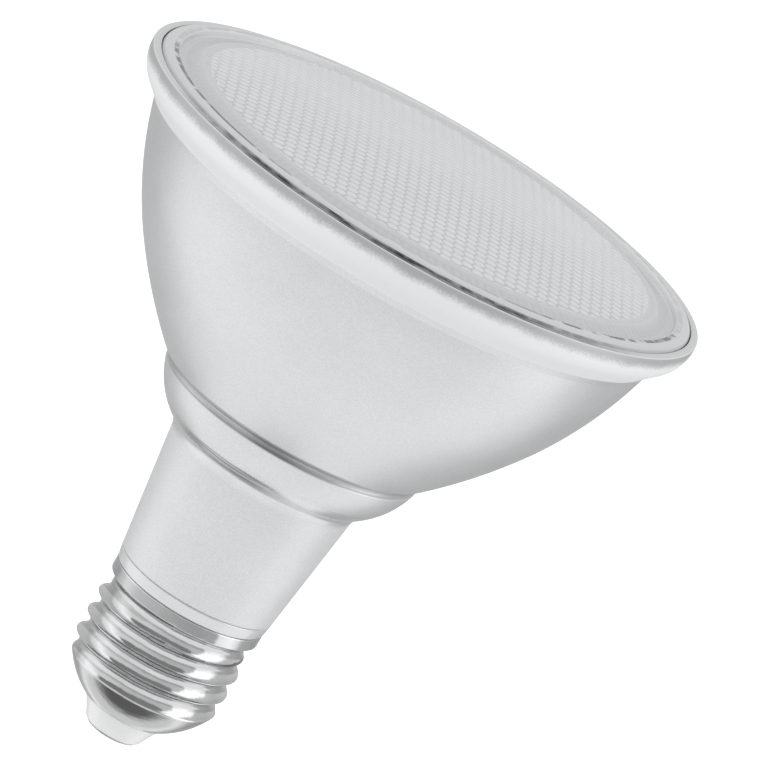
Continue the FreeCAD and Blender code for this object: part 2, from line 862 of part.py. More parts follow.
def make_transformer_core():
    half = S.core_length / 2
    window = S.core_height - S.core_bar * 2
    frame = block("core_frame", S.core_length, core_depth(), S.core_height,
                  -half, board_front(), core_low())
    left = block("core_left_window", half - S.core_bar * 1.5, core_depth(), window,
                 S.core_bar - half, board_front(), core_low() + S.core_bar)
    right = block("core_right_window", half - S.core_bar * 1.5, core_depth(), window,
                  S.core_bar / 2, board_front(), core_low() + S.core_bar)
    windows = fused("core_windows", [left, right])
    return cut("transformer_core", frame, windows)


def make_transformer_winding():
    window = S.core_height - S.core_bar * 2
    coil = block("coil_block", S.core_length - S.core_bar * 2 - S.solder_gap * 2, core_depth(),
                 window - S.solder_gap * 2, S.core_bar - S.core_length / 2 + S.solder_gap,
                 board_front(), core_low() + S.core_bar + S.solder_gap)
    leg = block("coil_core_room", S.core_bar + S.solder_gap * 2, core_depth(), window,
                -S.core_bar / 2 - S.solder_gap, board_front(), core_low() + S.core_bar)
    return cut("transformer_winding", coil, leg)


# Electrolytic capacitors: aluminium cans lying along the board, with a crimped bead
def make_can(name, radius, length, low, y):
    body = doc.addObject("PartDesign::Body", name)
    sketch = new_sketch(body, name + "_outline", "XZ_Plane")
    draw_outline(sketch, [
        (0, low),
        (radius, low),
        (radius, low + S.can_crimp),
        (radius - S.can_bead, low + S.can_crimp + S.can_bead),
        (radius, low + S.can_crimp + S.can_bead * 2),
        (radius, low + length),
        (0, low + length),
    ])
    turn = body.newObject("PartDesign::Revolution", name + "_turn")
    turn.Profile = sketch
    turn.ReferenceAxis = (sketch, ["V_Axis"])
    turn.Angle = 360
    body.setExpression("Placement.Base.y", y.formula)
    doc.recompute()
    return body


def bulk_low():
    return driver_low() + S.bulk_rise


def make_bulk_capacitor():
    radius = (S.housing_bore_radius - board_front() - S.bulk_clearance) / 2
    return make_can("bulk_capacitor", radius, S.bulk_length, bulk_low(), board_front() + radius)


def make_output_capacitor():
    return make_can("output_capacitor", S.output_radius, S.output_length,
                    film_low() + S.film_height + S.output_gap, -board_front() - S.output_radius)


# Small parts: film capacitor, bridge and fuse on the board's back, the chip on its front
def bridge_low():
    return driver_low() + S.bridge_rise


def film_low():
    return bridge_low() + S.bridge_height + S.film_gap


def back_block(name, length, depth, height, low):
    return block(name, length, depth, height, -length / 2, -board_front() - depth, low)


def make_film_capacitor():
    return back_block("film_capacitor", S.film_length, S.film_depth, S.film_height, film_low())


def make_bridge_rectifier():
    return back_block("bridge_rectifier", S.bridge_length, S.bridge_depth, S.bridge_height, bridge_low())


def make_driver_chip():
    edge = S.lead_spacing + S.lead_radius + S.lead_clearance
    return block("driver_chip", S.chip_length, S.chip_depth, S.chip_height,
                 -edge - S.chip_length, board_front(), core_low() + S.core_height + S.chip_gap)


def make_fuse_resistor():
    return rod("fuse_resistor", S.fuse_radius, S.fuse_length, -S.fuse_offset,
               -board_front() - S.fuse_radius, driver_low() + S.fuse_rise)


# Leads from the driver board up to the light board, and their connector
def lead_offset():
    return board_front() + S.lead_radius


def make_led_leads():
    top = light_board_top() + S.connector_height
    foot = driver_high() - S.lead_tail
    leads = [rod("lead_%d" % side, S.lead_radius, top - foot, S.lead_spacing * side, lead_offset(), foot)
             for side in (-1, 1)]
    return group("led_leads", leads)


def make_led_connector():
    half = S.lead_spacing + S.connector_end
    housing = block("connector_block", half * 2, S.connector_width, S.connector_height,
                    -half, lead_offset() - S.connector_width / 2, light_board_top())
    room = [rod("connector_hole_%d" % side, S.lead_radius + S.solder_gap, S.connector_height,
                S.lead_spacing * side, lead_offset(), light_board_top()) for side in (-1, 1)]
    return cut("led_connector", housing, fused("connector_holes", room))


# Wires to the cap: live to the contact's rivet, neutral out to the shell
def swept_wire(name, radius, points, bends):
    """A round wire along straight runs joined by arcs; each bend's radius is given."""
    runs = []
    start = points[0]
    for index, bend in enumerate(bends, start=1):
        before, corner, after = points[index - 1], points[index], points[index + 1]
        inward = (before - corner).normalize()
        onward = (after - corner).normalize()
        half = inward.getAngle(onward) / 2
        back = bend / math.tan(half)
        first, last = corner + inward * back, corner + onward * back
        bisector = (inward + onward).normalize()
        middle = corner + bisector * (bend / math.sin(half) - bend)
        runs.append(Part.LineSegment(start, first).toShape())
        runs.append(Part.Arc(first, middle, last).toShape())
        start = last
    runs.append(Part.LineSegment(start, points[-1]).toShape())
    path = Part.Wire(runs)
    section = Part.Wire(Part.makeCircle(radius, points[0], points[1] - points[0]))
    item = doc.addObject("Part::Feature", name)
    item.Shape = path.makePipeShell([section], True, True)
    return item


def point(x, y, z):
    """A place whose sizes are read from the sheet."""
    return FreeCAD.Vector(as_size(x).value, as_size(y).value, as_size(z).value)


def make_live_wire():
    y = board_front() + S.live_radius
    straight = S.rivet_height + S.live_rise
    points = [point(0, y, driver_low() + S.live_tail),
              point(0, y, straight + S.live_slant),
              point(0, 0, straight),
              point(0, 0, S.rivet_height)]
    return swept_wire("live_wire", S.live_radius.value, points, [S.live_bend.value] * 2)


def make_neutral_wire():
    y = -board_front() - S.neutral_radius
    out = S.shell_bore - S.neutral_radius
    inside = driver_half_width() - S.neutral_inset
    low = S.shell_shoulder_height + S.neutral_lift
    points = [point(inside, y, driver_low() + S.neutral_tail),
              point(inside, y, low),
              point(out, 0, low),
              point(out, 0, S.housing_foot_height + S.neutral_rise)]
    return swept_wire("neutral_wire", S.neutral_radius.value, points, [S.neutral_bend.value] * 2)


NODES = [
    make_centre_contact(),
    make_cap_insulator(),
    make_screw_shell(),
    make_driver_housing(),
    make_reflector_body(),
    make_lens_seal(),
    make_front_lens(),
    make_neck_adhesive(),
    make_heat_sink(),
    make_thermal_pad(),
    make_light_board(),
    make_board_screws(),
    make_leds(),
    make_driver_board(),
    make_transformer_core(),
    make_transformer_winding(),
    make_bulk_capacitor(),
    make_output_capacitor(),
    make_film_capacitor(),
    make_bridge_rectifier(),
    make_driver_chip(),
    make_fuse_resistor(),
    make_led_leads(),
    make_led_connector(),
    make_live_wire(),
    make_neutral_wire(),
]


def check_and_write():
    doc.recompute()
    for item in doc.Objects:
        if "Invalid" in item.State or "Error" in item.State:
            raise RuntimeError("%s failed: %s" % (item.Name, item.State))
    os.makedirs("parts", exist_ok=True)
    for node in NODES:
        if node.Shape.isNull() or not node.Shape.isValid():
            raise RuntimeError("%s has no valid shape" % node.Label)
    for node in NODES:
        node.Shape.exportStep("parts/%s.step" % node.Label)
        print(node.Label, len(node.Shape.Solids), round(node.Shape.Volume, 1))


check_and_write()
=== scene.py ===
import math
import bmesh
import bpy
from mathutils import Matrix, Vector


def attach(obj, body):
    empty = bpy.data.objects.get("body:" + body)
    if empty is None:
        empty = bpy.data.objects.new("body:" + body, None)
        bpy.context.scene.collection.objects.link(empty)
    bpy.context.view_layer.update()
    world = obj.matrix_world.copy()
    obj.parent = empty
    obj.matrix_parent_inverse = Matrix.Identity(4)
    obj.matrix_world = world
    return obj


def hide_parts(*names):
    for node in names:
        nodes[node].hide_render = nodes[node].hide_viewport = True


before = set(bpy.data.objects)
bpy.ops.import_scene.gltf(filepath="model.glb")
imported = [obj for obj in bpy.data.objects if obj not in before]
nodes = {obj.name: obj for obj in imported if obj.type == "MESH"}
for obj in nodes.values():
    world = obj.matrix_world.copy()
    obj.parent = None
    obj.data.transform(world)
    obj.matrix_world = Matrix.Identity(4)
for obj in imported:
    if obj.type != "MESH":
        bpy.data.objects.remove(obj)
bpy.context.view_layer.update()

# Centre contact
# A thin tinned brass disc on the end of the cap, held by a hollow rivet that is drawn
# up through the insulator. Its face is spun slightly hollow round the soldered rivet.


def arc(first, last, radius, turn, pieces):
    """Points along a circle's arc from first to last, without its ends; turn 1 is anticlockwise."""
    (r0, z0), (r1, z1) = first, last
    half = math.hypot(r1 - r0, z1 - z0) / 2
    rise = math.sqrt(max(radius ** 2 - half ** 2, 0.0)) * turn / (2 * half)
    rc = (r0 + r1) / 2 - (z1 - z0) * rise
    zc = (z0 + z1) / 2 + (r1 - r0) * rise
    start = math.atan2(z0 - zc, r0 - rc)
    sweep = (math.atan2(z1 - zc, r1 - rc) - start) % math.tau
    sweep = sweep if turn > 0 else sweep - math.tau
    return [(rc + radius * math.cos(start + sweep * i / pieces),
             zc + radius * math.sin(start + sweep * i / pieces)) for i in range(1, pieces)]


def soften(corners, pieces=5):
    """A closed outline with each corner (radius, height, rounding) rounded off."""
    points = []
    for index, (r, z, *rounding) in enumerate(corners):
        if not rounding:
            points.append((r, z))
            continue
        here = Vector((r, z))
        back = (Vector(corners[index - 1][:2]) - here).normalized()
        ahead = (Vector(corners[(index + 1) % len(corners)][:2]) - here).normalized()
        half = back.angle(ahead) / 2
        reach = rounding[0] / math.tan(half)
        first, last = here + back * reach, here + ahead * reach
        turn = 1 if back.x * ahead.y - back.y * ahead.x < 0 else -1
        points += [tuple(first), *arc(first, last, rounding[0], turn, pieces), tuple(last)]
    return points


def turned(name, outline, steps, crease=35.0):
    """A piece turned on the lamp's axis from a closed anticlockwise outline, in millimetres."""
    mesh = bpy.data.meshes.new(name)
    rings, places, faces = [], [], []
    for r, z in outline:
        count = 1 if r < 1e-6 else steps
        rings.append(range(len(places), len(places) + count))
        for k in range(count):
            angle = math.tau * k / steps
            places.append((r * math.cos(angle) / 1000, r * math.sin(angle) / 1000, z / 1000))
    for low, high in zip(rings, rings[1:] + rings[:1]):
        for k in range(steps):
            ring = [low[k % len(low)], low[(k + 1) % len(low)],
                    high[(k + 1) % len(high)], high[k % len(high)]]
            face = list(dict.fromkeys(ring))
            if len(face) > 2:
                faces.append(face)
    mesh.from_pydata(places, [], faces)
    return finished(name, mesh, crease)


def finished(name, mesh, crease):
    """The object of a mesh, smooth but for edges sharper than the crease."""
    mesh.validate()
    mesh.shade_smooth()
    mesh.set_sharp_from_angle(angle=math.radians(crease))
    piece = bpy.data.objects.new(name, mesh)
    bpy.context.scene.collection.objects.link(piece)
    return piece


def join(tree, source, socket):
    """Links a socket's source, or sets the socket where the source is a plain value."""
    if isinstance(source, bpy.types.NodeSocket):
        tree.links.new(source, socket)
    else:
        socket.default_value = source


def step(tree, kind, inputs=(), **settings):
    """A node with its settings and its inputs, given as pairs of socket name or place and source."""
    made = tree.nodes.new(kind)
    for name, value in settings.items():
        setattr(made, name, value)
    for place, source in inputs:
        join(tree, source, made.inputs[place])
    return made


def maths(tree, operation, *values):
    """The result of a Math node."""
    return step(tree, "ShaderNodeMath", list(enumerate(values)), operation=operation).outputs[0]


def noise(tree, place, scale, detail, roughness=0.5):
    """The value of a Noise Texture at a place."""
    made = step(tree, "ShaderNodeTexNoise", [
        ("Vector", place), ("Scale", scale), ("Detail", detail), ("Roughness", roughness)])
    return made.outputs["Fac"]


def effect(name, inputs, outputs):
    """An empty shader node group with named inputs and outputs, and its two ends."""
    group = bpy.data.node_groups.new(name, "ShaderNodeTree")
    for label, kind, value in inputs:
        group.interface.new_socket(label, in_out="INPUT", socket_type=kind).default_value = value
    for label, kind in outputs:
        group.interface.new_socket(label, in_out="OUTPUT", socket_type=kind)
    ends = group.nodes.new("NodeGroupInput").outputs, group.nodes.new("NodeGroupOutput").inputs
    return group, *ends


def make_surface_tone():
    """Group: two close tones and a roughness that wander over a surface, with a fine grain."""
    group, given, made = effect(
        "Surface tone",
        [("Light Tone", "NodeSocketColor", (0.8, 0.8, 0.8, 1)),
         ("Dark Tone", "NodeSocketColor", (0.7, 0.7, 0.7, 1)),
         ("Patch Size", "NodeSocketFloat", 0.01), ("Grain Size", "NodeSocketFloat", 0.0003),
         ("Least Roughness", "NodeSocketFloat", 0.3), ("Most Roughness", "NodeSocketFloat", 0.4),
         ("Grain Depth", "NodeSocketFloat", 0.2)],
        [("Color", "NodeSocketColor"), ("Roughness", "NodeSocketFloat"),
         ("Height", "NodeSocketFloat")])
    place = step(group, "ShaderNodeTexCoord").outputs["Object"]
    patches = noise(group, place, maths(group, "DIVIDE", 1.0, given["Patch Size"]), 4.0, 0.55)
    grain = noise(group, place, maths(group, "DIVIDE", 1.0, given["Grain Size"]), 2.0)
    share = step(group, "ShaderNodeMapRange", [
        ("Value", patches), ("From Min", 0.32), ("From Max", 0.68)]).outputs["Result"]
    tone = step(group, "ShaderNodeMix", [
        ("Factor", share), (6, given["Dark Tone"]), (7, given["Light Tone"])], data_type="RGBA")
    join(group, tone.outputs[2], made["Color"])
    rough = step(group, "ShaderNodeMapRange", [
        ("Value", maths(group, "ADD", maths(group, "MULTIPLY", share, 0.6),
                        maths(group, "MULTIPLY", grain, 0.4))),
        ("To Min", given["Least Roughness"]), ("To Max", given["Most Roughness"])])
    join(group, rough.outputs["Result"], made["Roughness"])
    height = maths(group, "ADD", maths(group, "MULTIPLY", grain, given["Grain Depth"]),
                   maths(group, "MULTIPLY", patches, 0.3))
    join(group, height, made["Height"])
    return group


surface_tone = make_surface_tone()


def finish_of(name, light, dark, least, most, patch=0.01, grain=0.0003, depth=0.2,
              relief=0.00002, **shader):
    """A material from the surface tone group; gives it, its tree, shader, tone and bump nodes."""
    material = bpy.data.materials.new(name)
    material.use_nodes = True
    tree = material.node_tree
    bsdf = tree.nodes["Principled BSDF"]
    tone = step(tree, "ShaderNodeGroup", node_tree=surface_tone)
    for label, value in (("Light Tone", (*light, 1)), ("Dark Tone", (*dark, 1)),
                         ("Patch Size", patch), ("Grain Size", grain), ("Least Roughness", least),
                         ("Most Roughness", most), ("Grain Depth", depth)):
        tone.inputs[label].default_value = value
    join(tree, tone.outputs["Color"], bsdf.inputs["Base Color"])
    join(tree, tone.outputs["Roughness"], bsdf.inputs["Roughness"])
    bump = step(tree, "ShaderNodeBump", [
        ("Height", tone.outputs["Height"]), ("Distance", relief), ("Strength", 1.0)])
    join(tree, bump.outputs["Normal"], bsdf.inputs["Normal"])
    for label, value in shader.items():
        bsdf.inputs[label.replace("_", " ")].default_value = value
    return material, tree, bsdf, tone, bump


def take_material(piece, material):
    """Gives a piece this material alone."""
    piece.data.materials.clear()
    piece.data.materials.append(material)


tinned_brass = finish_of("Tinned brass", (0.62, 0.6, 0.56), (0.42, 0.4, 0.37), 0.22, 0.42,
                         patch=0.004, Metallic=1.0)[0]

contact = turned("contact_disc", soften([
    (0, 0.32), (1.0, 0.3, 0.2), (1.35, 0.02, 0.15), (1.9, 0.02, 0.2), (2.5, 0.12, 0.3),
    (3.6, 0.0, 0.4), (4.4, 0.0, 0.16), (4.4, 0.4, 0.08), (1.2, 0.4), (1.2, 6.3, 0.1), (0, 6.3)]), 96)
take_material(contact, tinned_brass)
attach(contact, "root")
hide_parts("centre_contact")

# Cap insulator
# A cone of white glass that is pressed into the end of the shell while soft and keeps the
# centre contact apart from it. Its foot is rounded and its side is slightly drawn in.

white_glass = finish_of("White insulator glass", (0.93, 0.932, 0.935), (0.9, 0.902, 0.905),
                        0.22, 0.34, patch=0.006, depth=0.1, Coat_Weight=0.25,
                        Coat_Roughness=0.15)[0]

insulator = turned("insulator_cone", soften([
    (1.3, 0.4), (4.88, 0.4, 0.5), *arc((4.88, 0.4), (7.05, 4.45), 30.0, -1, 6), (7.05, 4.4),
    (11.66, 10.0, 0.2), (7.6, 10.0), (1.3, 5.6)]), 128)
take_material(insulator, white_glass)
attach(insulator, "root")
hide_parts("cap_insulator")

# Screw shell
# Thin brass drawn to a cup, its thread rolled between two rollers, then nickel plated.
# The rolled thread is right-handed and runs out into a relief ring below the plain band.

# Sizes in millimetres; the shell is cut in rows along the helix and in columns round the axis
ROLLED, GROOVE_SIDE = "rolled", "groove_side"
crest, bore, end_hole, band_top = 13.1, 11.65, 7.4, 26.2
groove = {"Pitch": 3.629, "Groove Radius": 1.9, "Groove Centre": 13.75,
          "First Turn": 8.77, "Last Turn": 22.4, "Edge Softness": 0.1, "Unevenness": 0.12}

TURN_ROWS, LOW_ROWS, SHELL_COLUMNS = 48, 6, 320
wall_foot = groove["First Turn"] + groove["Pitch"] * (0.5 + LOW_ROWS / TURN_ROWS)
wall_top = band_top - 0.18


def wound_shell(name, dome, rest, steps):
    """The shell's closed skin; its wall is meshed along the helix, so the crests follow an edge."""
    places, faces, marks = [], [], {}

    def place(r, z, column):
        angle = math.tau * column / steps
        places.append((r * math.cos(angle) / 1000, r * math.sin(angle) / 1000, z / 1000))
        return len(places) - 1

    def ring(r, z):
        return [place(r, z, column) for column in range(steps)]

    def spot(level, column):
        """The vertex of a helical row; rows past the wall's ends lie on its end rings."""
        turns, column = divmod(column, steps)
        level += turns * TURN_ROWS
        z = wall_foot + groove["Pitch"] * (level / TURN_ROWS - 1 + column / steps)
        if z < wall_foot + 0.001 or z > wall_top - 0.001:
            return (foot if z < wall_foot + 0.001 else top)[column]
        if (level, column) not in marks:
            marks[level, column] = place(crest, z, column)
        return marks[level, column]

    def add(corners):
        face = list(dict.fromkeys(corners))
        if len(face) > 2:
            faces.append(face)

    dome_rings = [ring(r, z) for r, z in dome]
    foot, top = ring(crest, wall_foot), ring(crest, wall_top)
    levels = math.ceil(((wall_top - wall_foot) / groove["Pitch"] + 1) * TURN_ROWS) + 1
    for level in range(levels):
        for column in range(steps):
            add([spot(level, column), spot(level, column + 1), spot(level + 1, column + 1),
                 spot(level + 1, column)])
    outside = len(places)
    rings = [top, *(ring(r, z) for r, z in rest), *dome_rings, foot]
    for low, high in zip(rings, rings[1:]):
        for column in range(steps):
            after = (column + 1) % steps
            add([low[column], low[after], high[after], high[column]])
    mesh = bpy.data.meshes.new(name)
    mesh.from_pydata(places, [], faces)
    return finished(name, mesh, 50), outside


shell, outside = wound_shell(
    "screw_shell_rolled",
    [(end_hole, 4.4), *arc((end_hole, 4.4), (crest, 11.0), 15.0, 1, 45), (crest, 11.0)],
    [(crest - 0.08, band_top - 0.03), (crest - 0.3, band_top), (bore, band_top), (bore, 10.0),
     (7.05, 4.4), (7.2, 4.28)], SHELL_COLUMNS)

# The rollers reach the outside only, and not the edge of the hole for the insulator
rolled = shell.data.attributes.new(ROLLED, "FLOAT", "POINT")
for index, vertex in enumerate(shell.data.vertices):
    wide = math.hypot(vertex.co.x, vertex.co.y) * 1000 > end_hole + 0.01
    rolled.data[index].value = 1.0 if wide and index < outside else 0.0

nickel, nickel_tree, nickel_bsdf, nickel_tone, nickel_bump = finish_of(
    "Bright nickel plate", (0.72, 0.722, 0.73), (0.64, 0.642, 0.65), 0.06, 0.13, patch=0.005,
    grain=0.0006, depth=0.15, relief=0.00001, Metallic=1.0)


def vector(tree, operation, first, second=None):
    """The vector that a Vector Math node gives; Scale takes a plain value as its second."""
    inputs = [(0, first)]
    if second is not None:
        inputs.append((3 if operation == "SCALE" else 1, second))
    return step(tree, "ShaderNodeVectorMath", inputs, operation=operation).outputs[0]


def axes_of(tree, place):
    """The three parts of a place, across, in depth and up."""
    return step(tree, "ShaderNodeSeparateXYZ", [(0, place)]).outputs


def make_drawn_streaks():
    """Group: fine streaks that run round the lamp's axis, as drawing and rolling leave them."""
    group, given, made = effect(
        "Drawn streaks",
        [("Round Scale", "NodeSocketFloat", 2.5), ("Rise Scale", "NodeSocketFloat", 4000.0)],
        [("Streak", "NodeSocketFloat")])
    place = step(group, "ShaderNodeTexCoord").outputs["Object"]
    outward = vector(group, "NORMALIZE", vector(group, "MULTIPLY", place, (1, 1, 0)))
    around = vector(group, "SCALE", outward, given["Round Scale"])
    lift = maths(group, "MULTIPLY", axes_of(group, place)[2], given["Rise Scale"])
    rise = step(group, "ShaderNodeCombineXYZ", [(2, lift)]).outputs[0]
    join(group, noise(group, vector(group, "ADD", around, rise), 1.0, 2.0), made["Streak"])
    return group


drawn_streaks = make_drawn_streaks()
streaks = step(nickel_tree, "ShaderNodeGroup", [("Round Scale", 5.0), ("Rise Scale", 900.0)],
               node_tree=drawn_streaks)
wavy = step(nickel_tree, "ShaderNodeBump", [
    ("Height", streaks.outputs["Streak"]), ("Distance", 0.00005), ("Strength", 1.0),
    ("Normal", nickel_bump.outputs["Normal"])])
join(nickel_tree, wavy.outputs["Normal"], nickel_bsdf.inputs["Normal"])


def between(tree, value, low, high):
    """Share from 0 to 1 of a value's way from low to high."""
    return step(tree, "ShaderNodeMapRange", [("Value", value), ("From Min", low), ("From Max", high)],
                interpolation_type="SMOOTHSTEP").outputs[0]


def blend(tree, share, first, second, kind="RGBA"):
    """A mix of two colours or two plain values."""
    ends = (6, 7, 2) if kind == "RGBA" else (2, 3, 0)
    made = step(tree, "ShaderNodeMix", [("Factor", share), (ends[0], first), (ends[1], second)],
                data_type=kind)
    return made.outputs[ends[2]]


# Painted shade: the side of each turn that faces down is darkened, darker than its crest
turn_side = step(nickel_tree, "ShaderNodeAttribute", attribute_name=GROOVE_SIDE).outputs["Fac"]
painted_shade_under_crest = maths(nickel_tree, "MULTIPLY", between(nickel_tree, turn_side, 1.15, 1.5), 0.8)
join(nickel_tree, blend(nickel_tree, painted_shade_under_crest, nickel_tone.outputs["Color"], (0.1, 0.1, 0.102, 1)),
     nickel_bsdf.inputs["Base Color"])


def make_rolled_thread():
    """Geometry tree: rolls a round helical groove and its relief ring into a turned shell."""
    tree = bpy.data.node_groups.new("Rolled thread", "GeometryNodeTree")
    ask = tree.interface.new_socket
    ask("Shell", in_out="INPUT", socket_type="NodeSocketGeometry")
    for label, value in groove.items():
        ask(label, in_out="INPUT", socket_type="NodeSocketFloat").default_value = value
    ask("Material", in_out="INPUT", socket_type="NodeSocketMaterial")
    ask("Shell", in_out="OUTPUT", socket_type="NodeSocketGeometry")
    given = tree.nodes.new("NodeGroupInput").outputs
    made = tree.nodes.new("NodeGroupOutput").inputs
    place = vector(tree, "SCALE", step(tree, "GeometryNodeInputPosition").outputs[0], 1000.0)
    axes = axes_of(tree, place)
    radius = maths(tree, "SQRT", maths(tree, "ADD", maths(tree, "POWER", axes[0], 2.0),
                                       maths(tree, "POWER", axes[1], 2.0)))
    share = maths(tree, "FRACT", maths(tree, "DIVIDE", maths(
        tree, "ARCTAN2", axes[1], axes[0]), math.tau))
    wander = noise(tree, vector(tree, "MULTIPLY", place, (1, 1, 0.6)), 0.16, 2.0)
    shift = maths(tree, "MULTIPLY", maths(tree, "SUBTRACT", wander, 0.5), given["Unevenness"])
    height = maths(tree, "ADD", axes[2], maths(tree, "MULTIPLY", shift, 2.0))
    along = maths(tree, "DIVIDE", maths(tree, "SUBTRACT", height, given["First Turn"]), given["Pitch"])
    turns = maths(tree, "MAXIMUM", maths(tree, "ROUND", maths(tree, "SUBTRACT", along, share)), 0.0)
    middle = maths(tree, "MULTIPLY_ADD", maths(tree, "ADD", turns, share), given["Pitch"],
                   given["First Turn"])
    past = maths(tree, "GREATER_THAN", middle, given["Last Turn"])

    def groove_face(away):
        square = maths(tree, "SUBTRACT", maths(tree, "POWER", given["Groove Radius"], 2.0),
                       maths(tree, "POWER", away, 2.0))
        depth = maths(tree, "SQRT", maths(tree, "MAXIMUM", square, 0.0))
        return maths(tree, "SUBTRACT", given["Groove Centre"], depth)

    helix = maths(tree, "ADD", groove_face(maths(tree, "SUBTRACT", height, middle)),
                  maths(tree, "MULTIPLY", past, 5.0))
    relief = groove_face(maths(tree, "SUBTRACT", axes[2], given["Last Turn"]))
    rolled_in = maths(tree, "SMOOTH_MIN", radius, helix, given["Edge Softness"])
    rolled_in = maths(tree, "SMOOTH_MIN", rolled_in, relief, given["Edge Softness"])
    rolled_in = maths(tree, "ADD", rolled_in, maths(tree, "MULTIPLY", maths(
        tree, "MINIMUM", shift, 0.0), 0.5))
    scale = maths(tree, "DIVIDE", rolled_in, radius)
    moved = step(tree, "ShaderNodeCombineXYZ", [
        (0, maths(tree, "MULTIPLY", axes[0], scale)),
        (1, maths(tree, "MULTIPLY", axes[1], scale)), (2, axes[2])]).outputs[0]
    metres = vector(tree, "SCALE", moved, 0.001)
    chosen = step(tree, "GeometryNodeInputNamedAttribute", [("Name", ROLLED)],
                  data_type="FLOAT").outputs[0]
    side = maths(tree, "MULTIPLY", maths(tree, "SUBTRACT", height, middle), maths(
        tree, "MULTIPLY", chosen, maths(tree, "SUBTRACT", 1.0, past)))
    marked = step(tree, "GeometryNodeStoreNamedAttribute", [
        ("Geometry", given["Shell"]), ("Name", GROOVE_SIDE), ("Value", side)],
        data_type="FLOAT", domain="POINT").outputs[0]
    pushed = step(tree, "GeometryNodeSetPosition", [
        ("Geometry", marked), ("Selection", maths(tree, "GREATER_THAN", chosen, 0.5)),
        ("Position", metres)]).outputs[0]
    real = step(tree, "GeometryNodeRealizeInstances", [(0, pushed)]).outputs[0]
    coated = step(tree, "GeometryNodeSetMaterial", [
        ("Geometry", real), ("Material", given["Material"])]).outputs[0]
    join(tree, coated, made["Shell"])
    return tree


def grown(piece, tree, **values):
    """Runs a geometry tree on a piece and keeps the result as its plain mesh."""
    modifier = piece.modifiers.new(tree.name, "NODES")
    modifier.node_group = tree
    for item in tree.interface.items_tree:
        if item.item_type == "SOCKET" and item.in_out == "INPUT" and item.name in values:
            modifier[item.identifier] = values[item.name]
    result = piece.evaluated_get(bpy.context.evaluated_depsgraph_get())
    mesh = bpy.data.meshes.new_from_object(result)
    piece.modifiers.remove(modifier)
    piece.data = mesh
    return piece


grown(shell, make_rolled_thread(), Material=nickel, **groove)
shell.data.attributes.remove(shell.data.attributes[ROLLED])
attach(shell, "root")
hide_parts("screw_shell")

# Driver housing
# One plastic moulding: the glossy ring between neck and cap, a spigot below it that the
# shell is pressed and staked on, and a tube that carries the driver up the neck.

housing_plastic = finish_of("Glossy housing plastic", (0.76, 0.765, 0.775), (0.72, 0.725, 0.735),
                            0.1, 0.2, patch=0.008, depth=0.05, Metallic=0.45, Coat_Weight=0.6,
                            Coat_Roughness=0.06)[0]

housing = turned("housing_tube", soften([
    (9.6, 12.0), (11.57, 12.0, 0.2), (11.57, 26.2), (12.9, 26.2, 0.05), (13.16, 26.45, 0.25),
    (13.5, 28.3, 0.12), (13.3, 28.4), (10.7, 28.4), (10.7, 46.0, 0.2), (9.6, 46.0, 0.2)]), 256)
take_material(housing, housing_plastic)
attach(housing, "root")
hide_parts("driver_housing")

# Neck adhesive
# A bead of pale lamp cement, run in between the glass neck and the housing's tube and
# baked hard. It holds the glass to the plastic.

cement = finish_of("Lamp cement", (0.72, 0.7, 0.65), (0.58, 0.56, 0.5), 0.8, 0.95, patch=0.003,
                   depth=0.8, relief=0.0001)[0]
take_material(nodes["neck_adhesive"], cement)

# Driver board and its parts
# A fibreglass board that stands upright in the housing, with the transformer and the
# large capacitor on its front and the flat parts on its back, all soldered through.

board_green = finish_of("Green solder mask", (0.07, 0.26, 0.13), (0.04, 0.18, 0.09), 0.25, 0.4,
                        patch=0.004, depth=0.1)[0]
ferrite = finish_of("Sintered ferrite", (0.12, 0.12, 0.125), (0.07, 0.07, 0.075), 0.6, 0.85,
                    patch=0.002, depth=0.7, relief=0.00006)[0]
winding = finish_of("Enamelled copper winding", (0.62, 0.27, 0.1), (0.42, 0.15, 0.05), 0.25, 0.4,
                    patch=0.001, grain=0.0002, depth=0.6, Metallic=0.6)[0]
can_sleeve = finish_of("Shrink sleeve", (0.06, 0.08, 0.16), (0.04, 0.05, 0.1), 0.25, 0.4,
                       patch=0.003)[0]
film_case = finish_of("Dipped film case", (0.5, 0.09, 0.05), (0.36, 0.05, 0.03), 0.15, 0.3,
                      patch=0.003)[0]
black_case = finish_of("Moulded black case", (0.035, 0.035, 0.04), (0.02, 0.02, 0.024), 0.5, 0.7,
                       patch=0.001, depth=0.5, relief=0.00004)[0]
lacquer = finish_of("Green resistor lacquer", (0.16, 0.33, 0.26), (0.1, 0.22, 0.17), 0.3, 0.45,
                    patch=0.001)[0]
red_sleeve = finish_of("Red wire sleeve", (0.5, 0.05, 0.03), (0.38, 0.03, 0.02), 0.3, 0.45,
                       patch=0.001)[0]
black_sleeve = finish_of("Black wire sleeve", (0.04, 0.04, 0.04), (0.02, 0.02, 0.02), 0.3, 0.45,
                         patch=0.001)[0]
for name, material in {
        "driver_board": board_green, "transformer_core": ferrite, "transformer_winding": winding,
        "bulk_capacitor": can_sleeve, "output_capacitor": can_sleeve, "film_capacitor": film_case,
        "bridge_rectifier": black_case, "driver_chip": black_case, "fuse_resistor": lacquer,
        "live_wire": red_sleeve, "neutral_wire": black_sleeve}.items():
    take_material(nodes[name], material)

# Heat sink, thermal pad and light board
# A turned aluminium cup sits on the housing's tube and carries the white light board,
# with a soft pad between them and three small screws. Its leads end in a connector.

